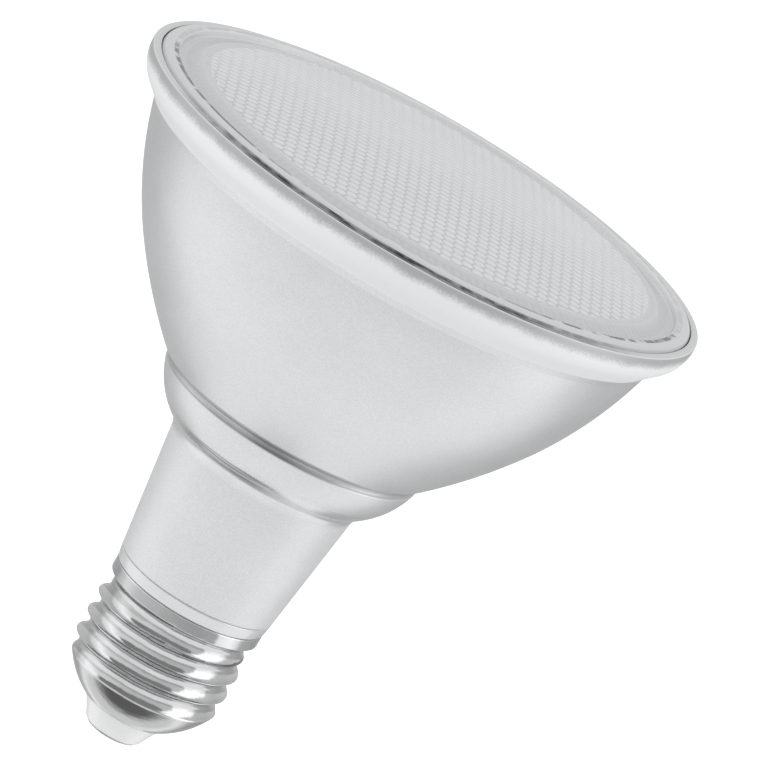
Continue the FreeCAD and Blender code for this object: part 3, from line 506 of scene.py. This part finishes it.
turned_aluminium = finish_of("Turned aluminium", (0.8, 0.8, 0.81), (0.68, 0.68, 0.7), 0.25, 0.4,
                             patch=0.002, grain=0.0002, depth=0.5, Metallic=1.0)[0]
soft_pad = finish_of("Thermal pad", (0.42, 0.48, 0.55), (0.36, 0.42, 0.5), 0.8, 0.95, patch=0.002)[0]
white_mask = finish_of("White solder mask", (0.84, 0.84, 0.82), (0.8, 0.8, 0.78), 0.2, 0.35,
                       patch=0.004)[0]
plain_steel = finish_of("Plain screw steel", (0.62, 0.62, 0.64), (0.5, 0.5, 0.52), 0.25, 0.4,
                        patch=0.001, Metallic=1.0)[0]
phosphor = finish_of("Phosphor gel", (0.86, 0.68, 0.12), (0.8, 0.58, 0.08), 0.25, 0.4, patch=0.001,
                     Coat_Weight=0.5)[0]
connector_case = finish_of("Connector case", (0.82, 0.81, 0.76), (0.78, 0.77, 0.72), 0.4, 0.55,
                           patch=0.002)[0]
white_sleeve = finish_of("White wire sleeve", (0.8, 0.8, 0.79), (0.74, 0.74, 0.73), 0.3, 0.45,
                         patch=0.001)[0]
for name, material in {
        "heat_sink": turned_aluminium, "thermal_pad": soft_pad, "light_board": white_mask,
        "board_screws": plain_steel, "leds": phosphor, "led_connector": connector_case,
        "led_leads": white_sleeve}.items():
    take_material(nodes[name], material)

# Reflector body
# One piece of pressed glass: a long neck, a waist with two soft grooves, the bowl and a
# thick rim. It is etched satin outside and the bowl is silvered inside; the lip stays clear.

body_outer = [
    (13.48, 28.4, 0.35), (16.18, 49.6, 2.0), (16.72, 51.1, 1.2),
    *arc((16.72, 51.1), (22.3, 58.4), 14.0, 1, 16), (22.3, 58.4), (22.5, 59.0, 0.22),
    (21.8, 59.8, 0.6), (23.62, 60.95, 1.5), *arc((23.62, 60.95), (35.6, 75.5), 92.0, 1, 24),
    (35.6, 75.5),
    *arc((35.6, 75.5), (44.1, 94.6), 66.0, 1, 24), (44.1, 94.6, 1.2),
    (44.8, 95.9, 1.2), (47.0, 98.0, 1.0), *arc((47.0, 98.0), (48.5, 101.3), 5.0, 1, 10),
    (48.5, 101.3), (48.5, 102.7, 0.42), (47.15, 102.7, 0.08)]
body_inner = [
    (47.13, 99.9), (43.2, 99.9, 0.2), *arc((43.2, 99.9), (33.26, 75.5), 70.0, -1, 16),
    (33.26, 75.5), *arc((33.26, 75.5), (20.48, 60.72), 92.0, -1, 12), (20.48, 60.72, 1.0),
    (13.85, 50.0, 1.0), (11.1, 28.4, 0.3)]
body = turned("reflector_glass", soften(body_outer + body_inner, 6), 320, crease=60)

satin_glass, satin_tree, satin_bsdf, satin_tone = finish_of(
    "Satin etched glass", (0.8, 0.805, 0.815), (0.76, 0.765, 0.775), 0.3, 0.38, patch=0.012,
    grain=0.00026, depth=0.5, relief=0.000012)[:4]


def make_rim_zones():
    """Group: masks of the rim's matt band, ragged fringe, thin edge for a painted highlight, and lip, by
    height.
    """
    group, given, made = effect(
        "Rim zones",
        [("Band Foot", "NodeSocketFloat", 0.0957), ("Fringe Foot", "NodeSocketFloat", 0.1002),
         ("Lip Foot", "NodeSocketFloat", 0.10258), ("Raggedness", "NodeSocketFloat", 0.0011)],
        [("Band", "NodeSocketFloat"), ("Fringe", "NodeSocketFloat"), ("Edge", "NodeSocketFloat"),
         ("Lip", "NodeSocketFloat")])
    place = step(group, "ShaderNodeTexCoord").outputs["Object"]
    height = axes_of(group, place)[2]
    fine = noise(group, place, 2600.0, 3.0, 0.75)
    coarse = noise(group, place, 260.0, 3.0)
    wander = maths(group, "SUBTRACT", maths(group, "MULTIPLY_ADD", fine, 1.6, coarse), 1.3)
    ragged = maths(group, "MULTIPLY_ADD", wander, given["Raggedness"], height)
    uneven = maths(group, "MULTIPLY_ADD", wander, 0.00025, height)
    # Each zone fades in over a short height, given from its foot, and the edge ends at the lip
    for zone, level, foot, low, high in (
            ("Band", uneven, "Band Foot", 0.0, 0.0002), ("Fringe", ragged, "Fringe Foot", 0.0, 0.0017),
            ("Edge", height, "Lip Foot", -0.00014, -0.0001), ("Lip", height, "Lip Foot", 0.0, 0.00006)):
        join(group, between(group, level, maths(group, "ADD", given[foot], low), maths(
            group, "ADD", given[foot], high)), made[zone])
    return group


def fading(tree, value, low, high):
    """Share from 1 down to 0 of a value's way from low to high."""
    return maths(tree, "SUBTRACT", 1.0, between(tree, value, low, high))


def product(tree, first, *others):
    """The values multiplied with each other, from the first on."""
    for other in others:
        first = maths(tree, "MULTIPLY", first, other)
    return first


def make_waist_grooves():
    """Group: how polished the glass is in the waist's two grooves, and how much painted shade lies in
    them, by height.
    """
    group, given, made = effect(
        "Waist grooves", [("Painted Shade Side", "NodeSocketFloat", -0.005)],
        [("Polish", "NodeSocketFloat"), ("Shade", "NodeSocketFloat")])
    across, _, height = axes_of(group, step(group, "ShaderNodeTexCoord").outputs["Object"])

    def belt(foot, full, fade, end):
        """Share of a belt of heights, full between its two middle heights."""
        return product(group, between(group, height, foot, full), fading(group, height, fade, end))

    streak = step(group, "ShaderNodeGroup", node_tree=drawn_streaks).outputs["Streak"]
    lines = maths(group, "MULTIPLY_ADD", between(group, streak, 0.38, 0.6), 0.65, 0.35)
    # Painted shade: the lower groove's is centred towards one side, the upper groove's is strongest near
    # the middle
    away = maths(group, "ABSOLUTE", maths(group, "SUBTRACT", across, given["Painted Shade Side"]))
    lower = product(group, belt(0.0512, 0.0519, 0.0532, 0.0539), fading(group, away, 0.004, 0.012), lines)
    middle = fading(group, maths(group, "ABSOLUTE", across), 0.001, 0.0065)
    upper = product(group, belt(0.059, 0.0592, 0.0599, 0.0612), maths(
        group, "MULTIPLY_ADD", lines, 0.3, 0.7), maths(group, "MULTIPLY_ADD", middle, 0.45, 0.45))
    join(group, maths(group, "MAXIMUM", lower, upper), made["Shade"])
    join(group, belt(0.0495, 0.0507, 0.0533, 0.0545), made["Polish"])
    return group


def finish_body(tree, bsdf, tone):
    """Plain neck, silvered bowl, painted shade in the waist grooves, matt band, ragged fringe, thin edge
    with a painted highlight and clear lip coloured dark as painted shade, by height.
    """
    zones = step(tree, "ShaderNodeGroup", node_tree=make_rim_zones()).outputs
    place = step(tree, "ShaderNodeTexCoord").outputs["Object"]
    speck = between(tree, noise(tree, place, 4200.0, 1.0), 0.3, 0.7)
    color = blend(tree, speck, (0.91, 0.91, 0.91, 1), (1, 1, 1, 1))
    color = step(tree, "ShaderNodeMix", [("Factor", 1.0), (6, tone.outputs["Color"]), (7, color)],
                 data_type="RGBA", blend_type="MULTIPLY").outputs[2]
    waist = step(tree, "ShaderNodeGroup", node_tree=make_waist_grooves()).outputs
    # Painted shade darkens the waist grooves towards dark grey
    color = blend(tree, maths(tree, "MULTIPLY", waist["Shade"], 0.92), color, (0.22, 0.222, 0.226, 1))
    depth, height = axes_of(tree, place)[1:]
    metal = blend(tree, between(tree, height, 0.049, 0.051), 0.3, 0.75, "FLOAT")
    rough = blend(tree, waist["Polish"], tone.outputs["Roughness"], 0.17, "FLOAT")
    streak = step(tree, "ShaderNodeGroup", [("Round Scale", 14.0)], node_tree=drawn_streaks)
    # Painted shade: the clear lip is near black with streaks at the front and grey further back
    clear = blend(tree, between(tree, streak.outputs["Streak"], 0.35, 0.65), (0.04, 0.041, 0.043, 1),
                  (0.2, 0.202, 0.206, 1))
    clear = blend(tree, between(tree, depth, -0.044, -0.022), clear, (0.52, 0.525, 0.53, 1))
    # The edge's paler, non-metal colour is a painted highlight
    for zone, shade, sheen, polish in (("Band", (0.88, 0.885, 0.895, 1), 0.1, 0.5),
                                       ("Fringe", (0.48, 0.483, 0.49, 1), 0.3, 0.35),
                                       ("Edge", (0.62, 0.623, 0.63, 1), 0.0, 0.4),
                                       ("Lip", clear, 0.0, 0.14)):
        color = blend(tree, zones[zone], color, shade)
        metal = blend(tree, zones[zone], metal, sheen, "FLOAT")
        rough = blend(tree, zones[zone], rough, polish, "FLOAT")
    join(tree, color, bsdf.inputs["Base Color"])
    join(tree, metal, bsdf.inputs["Metallic"])
    join(tree, rough, bsdf.inputs["Roughness"])


finish_body(satin_tree, satin_bsdf, satin_tone)
take_material(body, satin_glass)
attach(body, "root")
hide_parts("reflector_body")

# Lens seal
# A thin bead of clear silicone on the floor of the rim's rebate, which beds the lens and
# keeps damp out.

silicone = finish_of("Clear silicone", (0.72, 0.72, 0.72), (0.66, 0.66, 0.66), 0.35, 0.5, patch=0.004)[0]
take_material(nodes["lens_seal"], silicone)

# Front lens
# A pressed glass disc: smooth flange, a ring groove with fine teeth on its wall, and a low
# dome whose field is covered with small six-sided lenslets. It lies in the rim's rebate.

# Sizes in millimetres, and the field's turn in degrees
COLUMN, ROW, FIELD, FIELD_TURN = 1.84, 2.125, 38.9, 6.0
DOME_RADIUS, FIELD_FOOT, GLASS = 400.0, 103.5, 3.2
CROWN = FIELD_FOOT + DOME_RADIUS - math.sqrt(DOME_RADIUS ** 2 - FIELD ** 2)
LENSLET = 0.18
CELL = "lenslet_edge"


def length(tree, operation, first, second=(0, 0, 0)):
    """The plain value that a Vector Math node gives, such as a length or a distance."""
    return step(tree, "ShaderNodeVectorMath", [(0, first), (1, second)],
                operation=operation).outputs["Value"]


def make_lenslet_field():
    """Geometry tree: a sheet of six-sided lenslets laid over a low dome."""
    tree = bpy.data.node_groups.new("Lenslet field", "GeometryNodeTree")
    ask = tree.interface.new_socket
    ask("Start", in_out="INPUT", socket_type="NodeSocketGeometry")
    for label, value in (("Column Spacing", COLUMN), ("Row Spacing", ROW), ("Field Radius", FIELD),
                         ("Turn", math.radians(FIELD_TURN)), ("Lenslet Height", LENSLET),
                         ("Dome Radius", DOME_RADIUS), ("Crown Height", CROWN)):
        ask(label, in_out="INPUT", socket_type="NodeSocketFloat").default_value = value
    ask("Material", in_out="INPUT", socket_type="NodeSocketMaterial")
    ask("Sheet", in_out="OUTPUT", socket_type="NodeSocketGeometry")
    given = tree.nodes.new("NodeGroupInput").outputs
    made = tree.nodes.new("NodeGroupOutput").inputs
    columns, rows = 45, 41
    grid = step(tree, "GeometryNodeMeshGrid", [
        ("Size X", maths(tree, "MULTIPLY", given["Column Spacing"], columns - 1.0)),
        ("Size Y", maths(tree, "MULTIPLY", given["Row Spacing"], rows - 1.0)),
        ("Vertices X", columns), ("Vertices Y", rows)]).outputs["Mesh"]
    spot = step(tree, "GeometryNodeInputPosition").outputs[0]
    column = maths(tree, "ROUND", maths(
        tree, "DIVIDE", axes_of(tree, spot)[0], given["Column Spacing"]))
    odd = maths(tree, "ABSOLUTE", maths(tree, "MODULO", column, 2.0))
    shift = step(tree, "ShaderNodeCombineXYZ", [
        (1, product(tree, odd, given["Row Spacing"], 0.5))]).outputs[0]
    staggered = step(tree, "GeometryNodeSetPosition", [
        ("Geometry", grid), ("Offset", shift)]).outputs[0]
    away = length(tree, "LENGTH", step(tree, "GeometryNodeInputPosition").outputs[0])
    inside_field = step(tree, "GeometryNodeDeleteGeometry", [
        ("Geometry", staggered), ("Selection", maths(tree, "GREATER_THAN", away, given["Field Radius"]))],
        domain="POINT").outputs[0]
    cell = step(tree, "GeometryNodeMeshCircle", [
        ("Vertices", 6), ("Radius", maths(tree, "DIVIDE", given["Row Spacing"], math.sqrt(3)))],
        fill_type="TRIANGLE_FAN").outputs[0]
    fine = step(tree, "GeometryNodeSubdivideMesh", [("Mesh", cell), ("Level", 1)]).outputs[0]
    lying = step(tree, "GeometryNodeInputPosition").outputs[0]
    reach = length(tree, "LENGTH", lying)
    share = maths(tree, "MINIMUM", maths(tree, "DIVIDE", reach, maths(
        tree, "MULTIPLY", given["Row Spacing"], 0.5)), 1.0)
    swell = maths(tree, "MULTIPLY", maths(tree, "SUBTRACT", 1.0, maths(tree, "POWER", share, 2.0)),
                  given["Lenslet Height"])
    marked = step(tree, "GeometryNodeStoreNamedAttribute", [
        ("Geometry", fine), ("Name", CELL), ("Value", share)],
        data_type="FLOAT", domain="POINT").outputs[0]
    domed = step(tree, "GeometryNodeSetPosition", [
        ("Geometry", marked), ("Offset", step(tree, "ShaderNodeCombineXYZ", [(2, swell)]).outputs[0])
    ]).outputs[0]
    laid = step(tree, "GeometryNodeInstanceOnPoints", [
        ("Points", inside_field), ("Instance", domed)]).outputs[0]
    real = step(tree, "GeometryNodeRealizeInstances", [(0, laid)]).outputs[0]
    sewn = step(tree, "GeometryNodeMergeByDistance", [("Geometry", real), ("Distance", 0.01)]).outputs[0]
    here = step(tree, "GeometryNodeInputPosition").outputs[0]
    turned_place = step(tree, "ShaderNodeVectorRotate", [
        ("Vector", here), ("Axis", (0, 0, 1)), ("Angle", given["Turn"])],
        rotation_type="AXIS_ANGLE").outputs[0]
    axes = axes_of(tree, turned_place)
    flat = maths(tree, "ADD", maths(tree, "POWER", axes[0], 2.0), maths(tree, "POWER", axes[1], 2.0))
    drop = maths(tree, "SUBTRACT", maths(tree, "SQRT", maths(
        tree, "SUBTRACT", maths(tree, "POWER", given["Dome Radius"], 2.0), flat)), given["Dome Radius"])
    lifted = maths(tree, "ADD", maths(tree, "ADD", axes[2], given["Crown Height"]), drop)
    final = step(tree, "ShaderNodeCombineXYZ", [(0, axes[0]), (1, axes[1]), (2, lifted)]).outputs[0]
    placed = step(tree, "GeometryNodeSetPosition", [
        ("Geometry", sewn), ("Position", vector(tree, "SCALE", final, 0.001))]).outputs[0]
    whole = step(tree, "GeometryNodeRealizeInstances", [(0, placed)]).outputs[0]
    coated = step(tree, "GeometryNodeSetMaterial", [
        ("Geometry", whole), ("Material", given["Material"])]).outputs[0]
    join(tree, coated, made["Sheet"])
    return tree


lens_glass, lens_tree, lens_bsdf, lens_tone = finish_of(
    "Pressed lens glass", (0.695, 0.706, 0.725), (0.665, 0.676, 0.695), 0.14, 0.24, patch=0.015,
    depth=0.1, relief=0.00001, Transmission_Weight=0.12, IOR=1.5, Coat_Weight=0.15,
    Coat_Roughness=0.1)[:4]


def finish_lens(tree, bsdf, tone):
    """Painted shade in the lenslets' seams, tones of groove and flange, a ragged border of painted shade,
    painted light on the far wall, and the clear side coloured dark as painted shade with lighter spots as
    painted glints.
    """
    seam = step(tree, "ShaderNodeAttribute", attribute_name=CELL).outputs["Fac"]
    place = step(tree, "ShaderNodeTexCoord").outputs["Object"]
    across, depth = axes_of(tree, place)[:2]
    flat = vector(tree, "MULTIPLY", place, (1, 1, 0))
    away = length(tree, "LENGTH", flat)

    # Painted shade in the seams and along the border is strong in front and faint at the far side
    seam = product(tree, between(tree, seam, 0.7, 1.0), blend(
        tree, between(tree, depth, -0.02, 0.02), 0.8, 0.05, "FLOAT"))
    color = blend(tree, seam, tone.outputs["Color"], (0.42, 0.424, 0.43, 1))
    # Painted shade: a dark ragged border on the groove's outer wall, strongest at the front and at the
    # sides
    painted_border_shade = product(
        tree, between(tree, noise(tree, flat, 320.0, 3.0), 0.36, 0.52),
        maths(tree, "MULTIPLY_ADD", between(tree, depth, -0.009, 0.0), -0.8, 1.0),
        maths(tree, "MULTIPLY_ADD", between(
            tree, maths(tree, "ABSOLUTE", across), 0.012, 0.03), 0.65, 0.3),
        between(tree, away, 0.0443, 0.0445), fading(tree, away, 0.0451, 0.0454))
    # Painted light: the groove's wall is lightened at the far side
    far_wall_painted_light = product(tree, between(tree, depth, 0.0, 0.02), between(tree, away, 0.0434, 0.0439),
                       fading(tree, away, 0.0444, 0.0446))
    streak = step(tree, "ShaderNodeGroup", [("Round Scale", 14.0)], node_tree=drawn_streaks)
    # Painted shade on the lens's clear side, near black at the front and grey further back, with lighter
    # spots as painted glints
    light = between(tree, maths(tree, "MULTIPLY_ADD", noise(tree, place, 420.0, 2.0), 0.5, maths(
        tree, "MULTIPLY", streak.outputs["Streak"], 0.5)), 0.42, 0.62)
    clear = blend(tree, light, (0.05, 0.051, 0.053, 1), (0.34, 0.344, 0.35, 1))
    clear = blend(tree, between(tree, depth, -0.044, -0.022), clear, (0.52, 0.525, 0.53, 1))
    for mask, shade in (
            (between(tree, away, 0.0387, 0.0392), (0.57, 0.575, 0.585, 1)),
            (between(tree, away, 0.044, 0.0443), (0.61, 0.615, 0.625, 1)),
            (far_wall_painted_light, (0.74, 0.745, 0.755, 1)), (painted_border_shade, (0.08, 0.081, 0.084, 1)),
            (between(tree, away, 0.0466, 0.04675), clear)):
        color = blend(tree, mask, color, shade)
    join(tree, color, bsdf.inputs["Base Color"])


finish_lens(lens_tree, lens_bsdf, lens_tone)

field = bpy.data.objects.new("lenslets", bpy.data.meshes.new("lenslets"))
bpy.context.scene.collection.objects.link(field)
grown(field, make_lenslet_field(), Material=lens_glass)

TEETH, TOOTH, STEPS = 180, 0.2, 720


def press_lens(sheet):
    """Closes the lenslet sheet with the rest of the lens: edge, groove, flange and underside."""
    work = bmesh.new()
    work.from_mesh(sheet)
    ragged_edge = [edge for edge in work.edges if edge.is_boundary]
    outline = [
        (39.6, 103.46), (39.95, 103.53), (40.25, 103.56), (40.6, 103.5), (40.9, 103.3), (41.3, 103.02),
        (41.8, 102.76), (42.3, 102.57), (42.8, 102.5), (43.6, 102.5), (43.95, 102.62), (44.1, 102.95),
        (44.22, 103.25), (44.5, 103.4), (45.75, 103.4),
        *arc((45.75, 103.4), (47.05, 102.1), 1.35, -1, 8), (47.05, 102.1), (47.05, 100.4),
        (46.9, 100.2), (42.6, 100.2), (42.6, 99.5)]
    last_r, last_z = outline[-1]
    under = DOME_RADIUS - GLASS
    low = last_z - math.sqrt(under ** 2 - last_r ** 2)
    outline += [(r, low + math.sqrt(under ** 2 - r ** 2)) for r in (36, 28, 20, 12, 5)]
    rings = []
    for r, z in outline:
        ring = []
        for k in range(STEPS):
            angle = math.tau * k / STEPS
            tooth = 0.5 + 0.5 * math.cos(TEETH * angle)
            lift = TOOTH * tooth if 41.2 < r < 42.4 and z > 102.4 else 0.0
            ring.append(work.verts.new((r * math.cos(angle) / 1000, r * math.sin(angle) / 1000,
                                        (z + lift) / 1000)))
        rings.append(ring)
    for inner, outer in zip(rings, rings[1:]):
        for k in range(STEPS):
            work.faces.new((inner[k], outer[k], outer[(k + 1) % STEPS], inner[(k + 1) % STEPS]))
    last = rings[-1]
    middle = work.verts.new((0, 0, (low + under) / 1000))
    for k in range(STEPS):
        work.faces.new((middle, last[(k + 1) % STEPS], last[k]))
    rim = [work.edges.get((rings[0][k], rings[0][(k + 1) % STEPS])) for k in range(STEPS)]
    bmesh.ops.triangle_fill(work, use_beauty=True, edges=ragged_edge + rim)
    bmesh.ops.recalc_face_normals(work, faces=work.faces)
    mesh = bpy.data.meshes.new("front_lens_pressed")
    work.to_mesh(mesh)
    work.free()
    return mesh


lens = finished("front_lens_pressed", press_lens(field.data), 28)
bpy.data.objects.remove(field)
take_material(lens, lens_glass)
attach(lens, "root")
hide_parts("front_lens")

# Studio
# A pale floor below the lamp and a white surround, with a tall soft light at the right,
# a broad one at the left and one overhead. The floor keeps the lamp's soft shadow.

# Metres
FLOOR_HEIGHT, REACH = -0.09, 6.0
floor_mesh = bpy.data.meshes.new("floor")
floor_mesh.from_pydata([(x * REACH, y * REACH, FLOOR_HEIGHT) for x, y in (
    (-1, -1), (1, -1), (1, 1), (-1, 1))], [], [(0, 1, 2, 3)])
floor = bpy.data.objects.new("floor", floor_mesh)
bpy.context.scene.collection.objects.link(floor)


def make_surround_tone():
    """Group: the tones that a shiny surface sees in a direction, far off and near, by its turn."""
    group, given, made = effect("Surround tone", [("Direction", "NodeSocketVector", (0, 0, 0))],
                                [("Tone", "NodeSocketFloat"), ("Near Tone", "NodeSocketFloat"),
                                 ("Turn", "NodeSocketFloat")])
    parts = axes_of(group, given["Direction"])
    turn = maths(group, "ARCTAN2", parts[0], maths(group, "MULTIPLY", parts[1], -1.0))
    share = maths(group, "MULTIPLY_ADD", turn, 1 / math.tau, 0.5)
    # Turn in degrees, 0 towards the viewer, below zero to the left, above to the right, and tone
    far = ((-180, 0.53), (-150, 0.48), (-125, 0.45), (-108, 0.75), (-90, 0.97), (-62, 0.66), (-30, 0.62),
           (-14, 0.55), (4, 0.5), (30, 0.48), (60, 0.52), (68, 1.15), (90, 1.35), (100, 1.1),
           (112, 0.53), (150, 0.42), (180, 0.53))
    near = ((-180, 0.53), (-150, 0.48), (-125, 0.6), (-108, 1.03), (-85, 1.12), (-60, 1.02), (-30, 0.93),
            (0, 0.97), (30, 0.98), (56, 0.95), (70, 1.02), (90, 1.05), (113, 1.0), (125, 0.53),
            (150, 0.4), (180, 0.53))
    highest = 1.35
    for name, tones in (("Tone", far), ("Near Tone", near)):
        ramp = step(group, "ShaderNodeValToRGB", [("Fac", share)])
        ramp.color_ramp.interpolation = "EASE"
        elements = ramp.color_ramp.elements
        for index, (degrees, tone) in enumerate(tones):
            mark = elements[index] if index < 2 else elements.new(degrees / 360 + 0.5)
            mark.position = degrees / 360 + 0.5
            level = tone / highest
            mark.color = (level, level, level, 1)
        join(group, maths(group, "MULTIPLY", ramp.outputs["Color"], highest), made[name])
    join(group, turn, made["Turn"])
    return group


surround = make_surround_tone()

pale = bpy.data.materials.new("Pale floor")
pale.use_nodes = True
tree = pale.node_tree
tree.nodes.remove(tree.nodes["Principled BSDF"])
path = step(tree, "ShaderNodeLightPath").outputs
matte = step(tree, "ShaderNodeBsdfDiffuse", [("Color", (0.72, 0.72, 0.72, 1))]).outputs[0]
glow = step(tree, "ShaderNodeEmission", [
    ("Color", (1, 1, 1, 1)),
    ("Strength", maths(tree, "MULTIPLY", path["Is Camera Ray"], 0.5))]).outputs[0]
lit = step(tree, "ShaderNodeAddShader", [(0, matte), (1, glow)]).outputs[0]
# Shiny surfaces see the floor glow with the surround's tones, and from close by painted shadow below the
# lamp: a darker tone and a soft dark patch
place = step(tree, "ShaderNodeTexCoord").outputs["Object"]
tones = step(tree, "ShaderNodeGroup", [("Direction", place)], node_tree=surround).outputs
apart = length(tree, "DISTANCE", place, (0, 0, FLOOR_HEIGHT))
close = fading(tree, path["Ray Length"], 0.118, 0.135)
below = blend(tree, close, 1.02, 0.78, "FLOAT")
tone = blend(tree, between(tree, apart, 0.26, 0.33), tones["Near Tone"], tones["Tone"], "FLOAT")
tone = blend(tree, between(tree, apart, 0.08, 0.13), below, tone, "FLOAT")
# Painted shadow: a soft dark patch below the lamp, seen only from close by
squeezed = vector(tree, "MULTIPLY", place, (0.5, 1, 1))
patch = length(tree, "DISTANCE", squeezed, (-0.001, -0.018, FLOOR_HEIGHT))
patch = maths(tree, "MULTIPLY", close, fading(tree, patch, 0.015, 0.052))
tone = blend(tree, patch, tone, 0.14, "FLOAT")
mirrored = step(tree, "ShaderNodeEmission", [("Color", (1, 1, 1, 1)), ("Strength", tone)]).outputs[0]
lit = step(tree, "ShaderNodeMixShader", [(0, path["Is Glossy Ray"]), (1, lit), (2, mirrored)]).outputs[0]
under_side = step(tree, "ShaderNodeNewGeometry").outputs["Backfacing"]
clear = step(tree, "ShaderNodeBsdfTransparent").outputs[0]
both = step(tree, "ShaderNodeMixShader", [(0, under_side), (1, lit), (2, clear)]).outputs[0]
join(tree, both, tree.nodes["Material Output"].inputs["Surface"])
take_material(floor, pale)

world = bpy.data.worlds.new("Studio surround")
bpy.context.scene.world = world
world.use_nodes = True
tree = world.node_tree
path = step(tree, "ShaderNodeLightPath").outputs
way = step(tree, "ShaderNodeTexCoord").outputs["Generated"]
seen = step(tree, "ShaderNodeGroup", [("Direction", way)], node_tree=surround).outputs
rise = axes_of(tree, way)[2]
# Shiny surfaces see an even tone low down at the back, and dark above, from lower down in front
front = between(tree, maths(tree, "COSINE", maths(tree, "ADD", seen["Turn"], 0.2)), 0.2, 0.6)
low_edge = blend(tree, front, 0.75, 0.42, "FLOAT")
dark_top = between(tree, rise, low_edge, maths(tree, "ADD", low_edge, 0.2))
back = between(tree, maths(tree, "COSINE", seen["Turn"]), -0.4, -0.8)
glare = maths(tree, "MULTIPLY", back, fading(tree, rise, 0.2, 0.5))
tone = blend(tree, glare, maths(tree, "MULTIPLY", seen["Tone"], 1.3), 0.66, "FLOAT")
tone = blend(tree, dark_top, tone, 0.26, "FLOAT")
level = blend(tree, path["Is Glossy Ray"], 0.8, tone, "FLOAT")
level = blend(tree, path["Is Camera Ray"], level, 1.0, "FLOAT")
tree.nodes["Background"].inputs["Color"].default_value = (1, 1, 1, 1)
join(tree, level, tree.nodes["Background"].inputs["Strength"])


def soft_light(name, power, width, height, place, aim):
    """A rectangular lamp turned to its aim, which shiny surfaces don't mirror."""
    lamp = bpy.data.lights.new(name, "AREA")
    lamp.shape, lamp.size, lamp.size_y, lamp.energy = "RECTANGLE", width, height, power
    holder = bpy.data.objects.new(name, lamp)
    holder.location = place
    holder.visible_glossy = False
    holder.rotation_euler = (Vector(aim) - Vector(place)).to_track_quat("-Z", "Y").to_euler()
    bpy.context.scene.collection.objects.link(holder)


soft_light("tall light at the right", 6.0, 0.5, 1.4, (1.3, -0.1, 0.35), (0, 0, 0.06))
soft_light("broad light at the left", 7.0, 1.2, 1.4, (-1.3, -0.9, 0.5), (0, 0, 0.06))
soft_light("light overhead", 6.0, 1.6, 1.6, (0, 0.2, 1.7), (0, 0, 0.06))

# Camera
# It stands a little over a metre in front, raised above the lens and rolled, so that the
# lamp leans to the right as it does in the photograph.

station, target = Vector((0, -1.12883, 0.37309)), Vector((0, 0, 0.0585))
yaw, pitch, roll, focal = 0.0082, 0.0109, 0.5272, 7469.3128
FRAME, SENSOR = 768, 36
forward = (target - station).normalized()
right = forward.cross(Vector((0, 0, 1))).normalized()
up = right.cross(forward)
look = (forward * math.cos(yaw) * math.cos(pitch) + right * math.sin(yaw) * math.cos(pitch)
        + up * math.sin(pitch)).normalized()
side = look.cross(up).normalized()
over = side.cross(look)
rolled_side = side * math.cos(roll) + over * math.sin(roll)
rolled_over = over * math.cos(roll) - side * math.sin(roll)
camera = bpy.data.objects.new("camera", bpy.data.cameras.new("camera"))
camera.data.lens, camera.data.sensor_width = focal / FRAME * SENSOR, SENSOR
camera.data.clip_end = 50
camera.matrix_world = Matrix.Translation(station) @ Matrix(
    (rolled_side, rolled_over, -look)).transposed().to_4x4()
bpy.context.scene.collection.objects.link(camera)
bpy.context.scene.camera = camera
bpy.context.scene.view_settings.view_transform = "Standard"
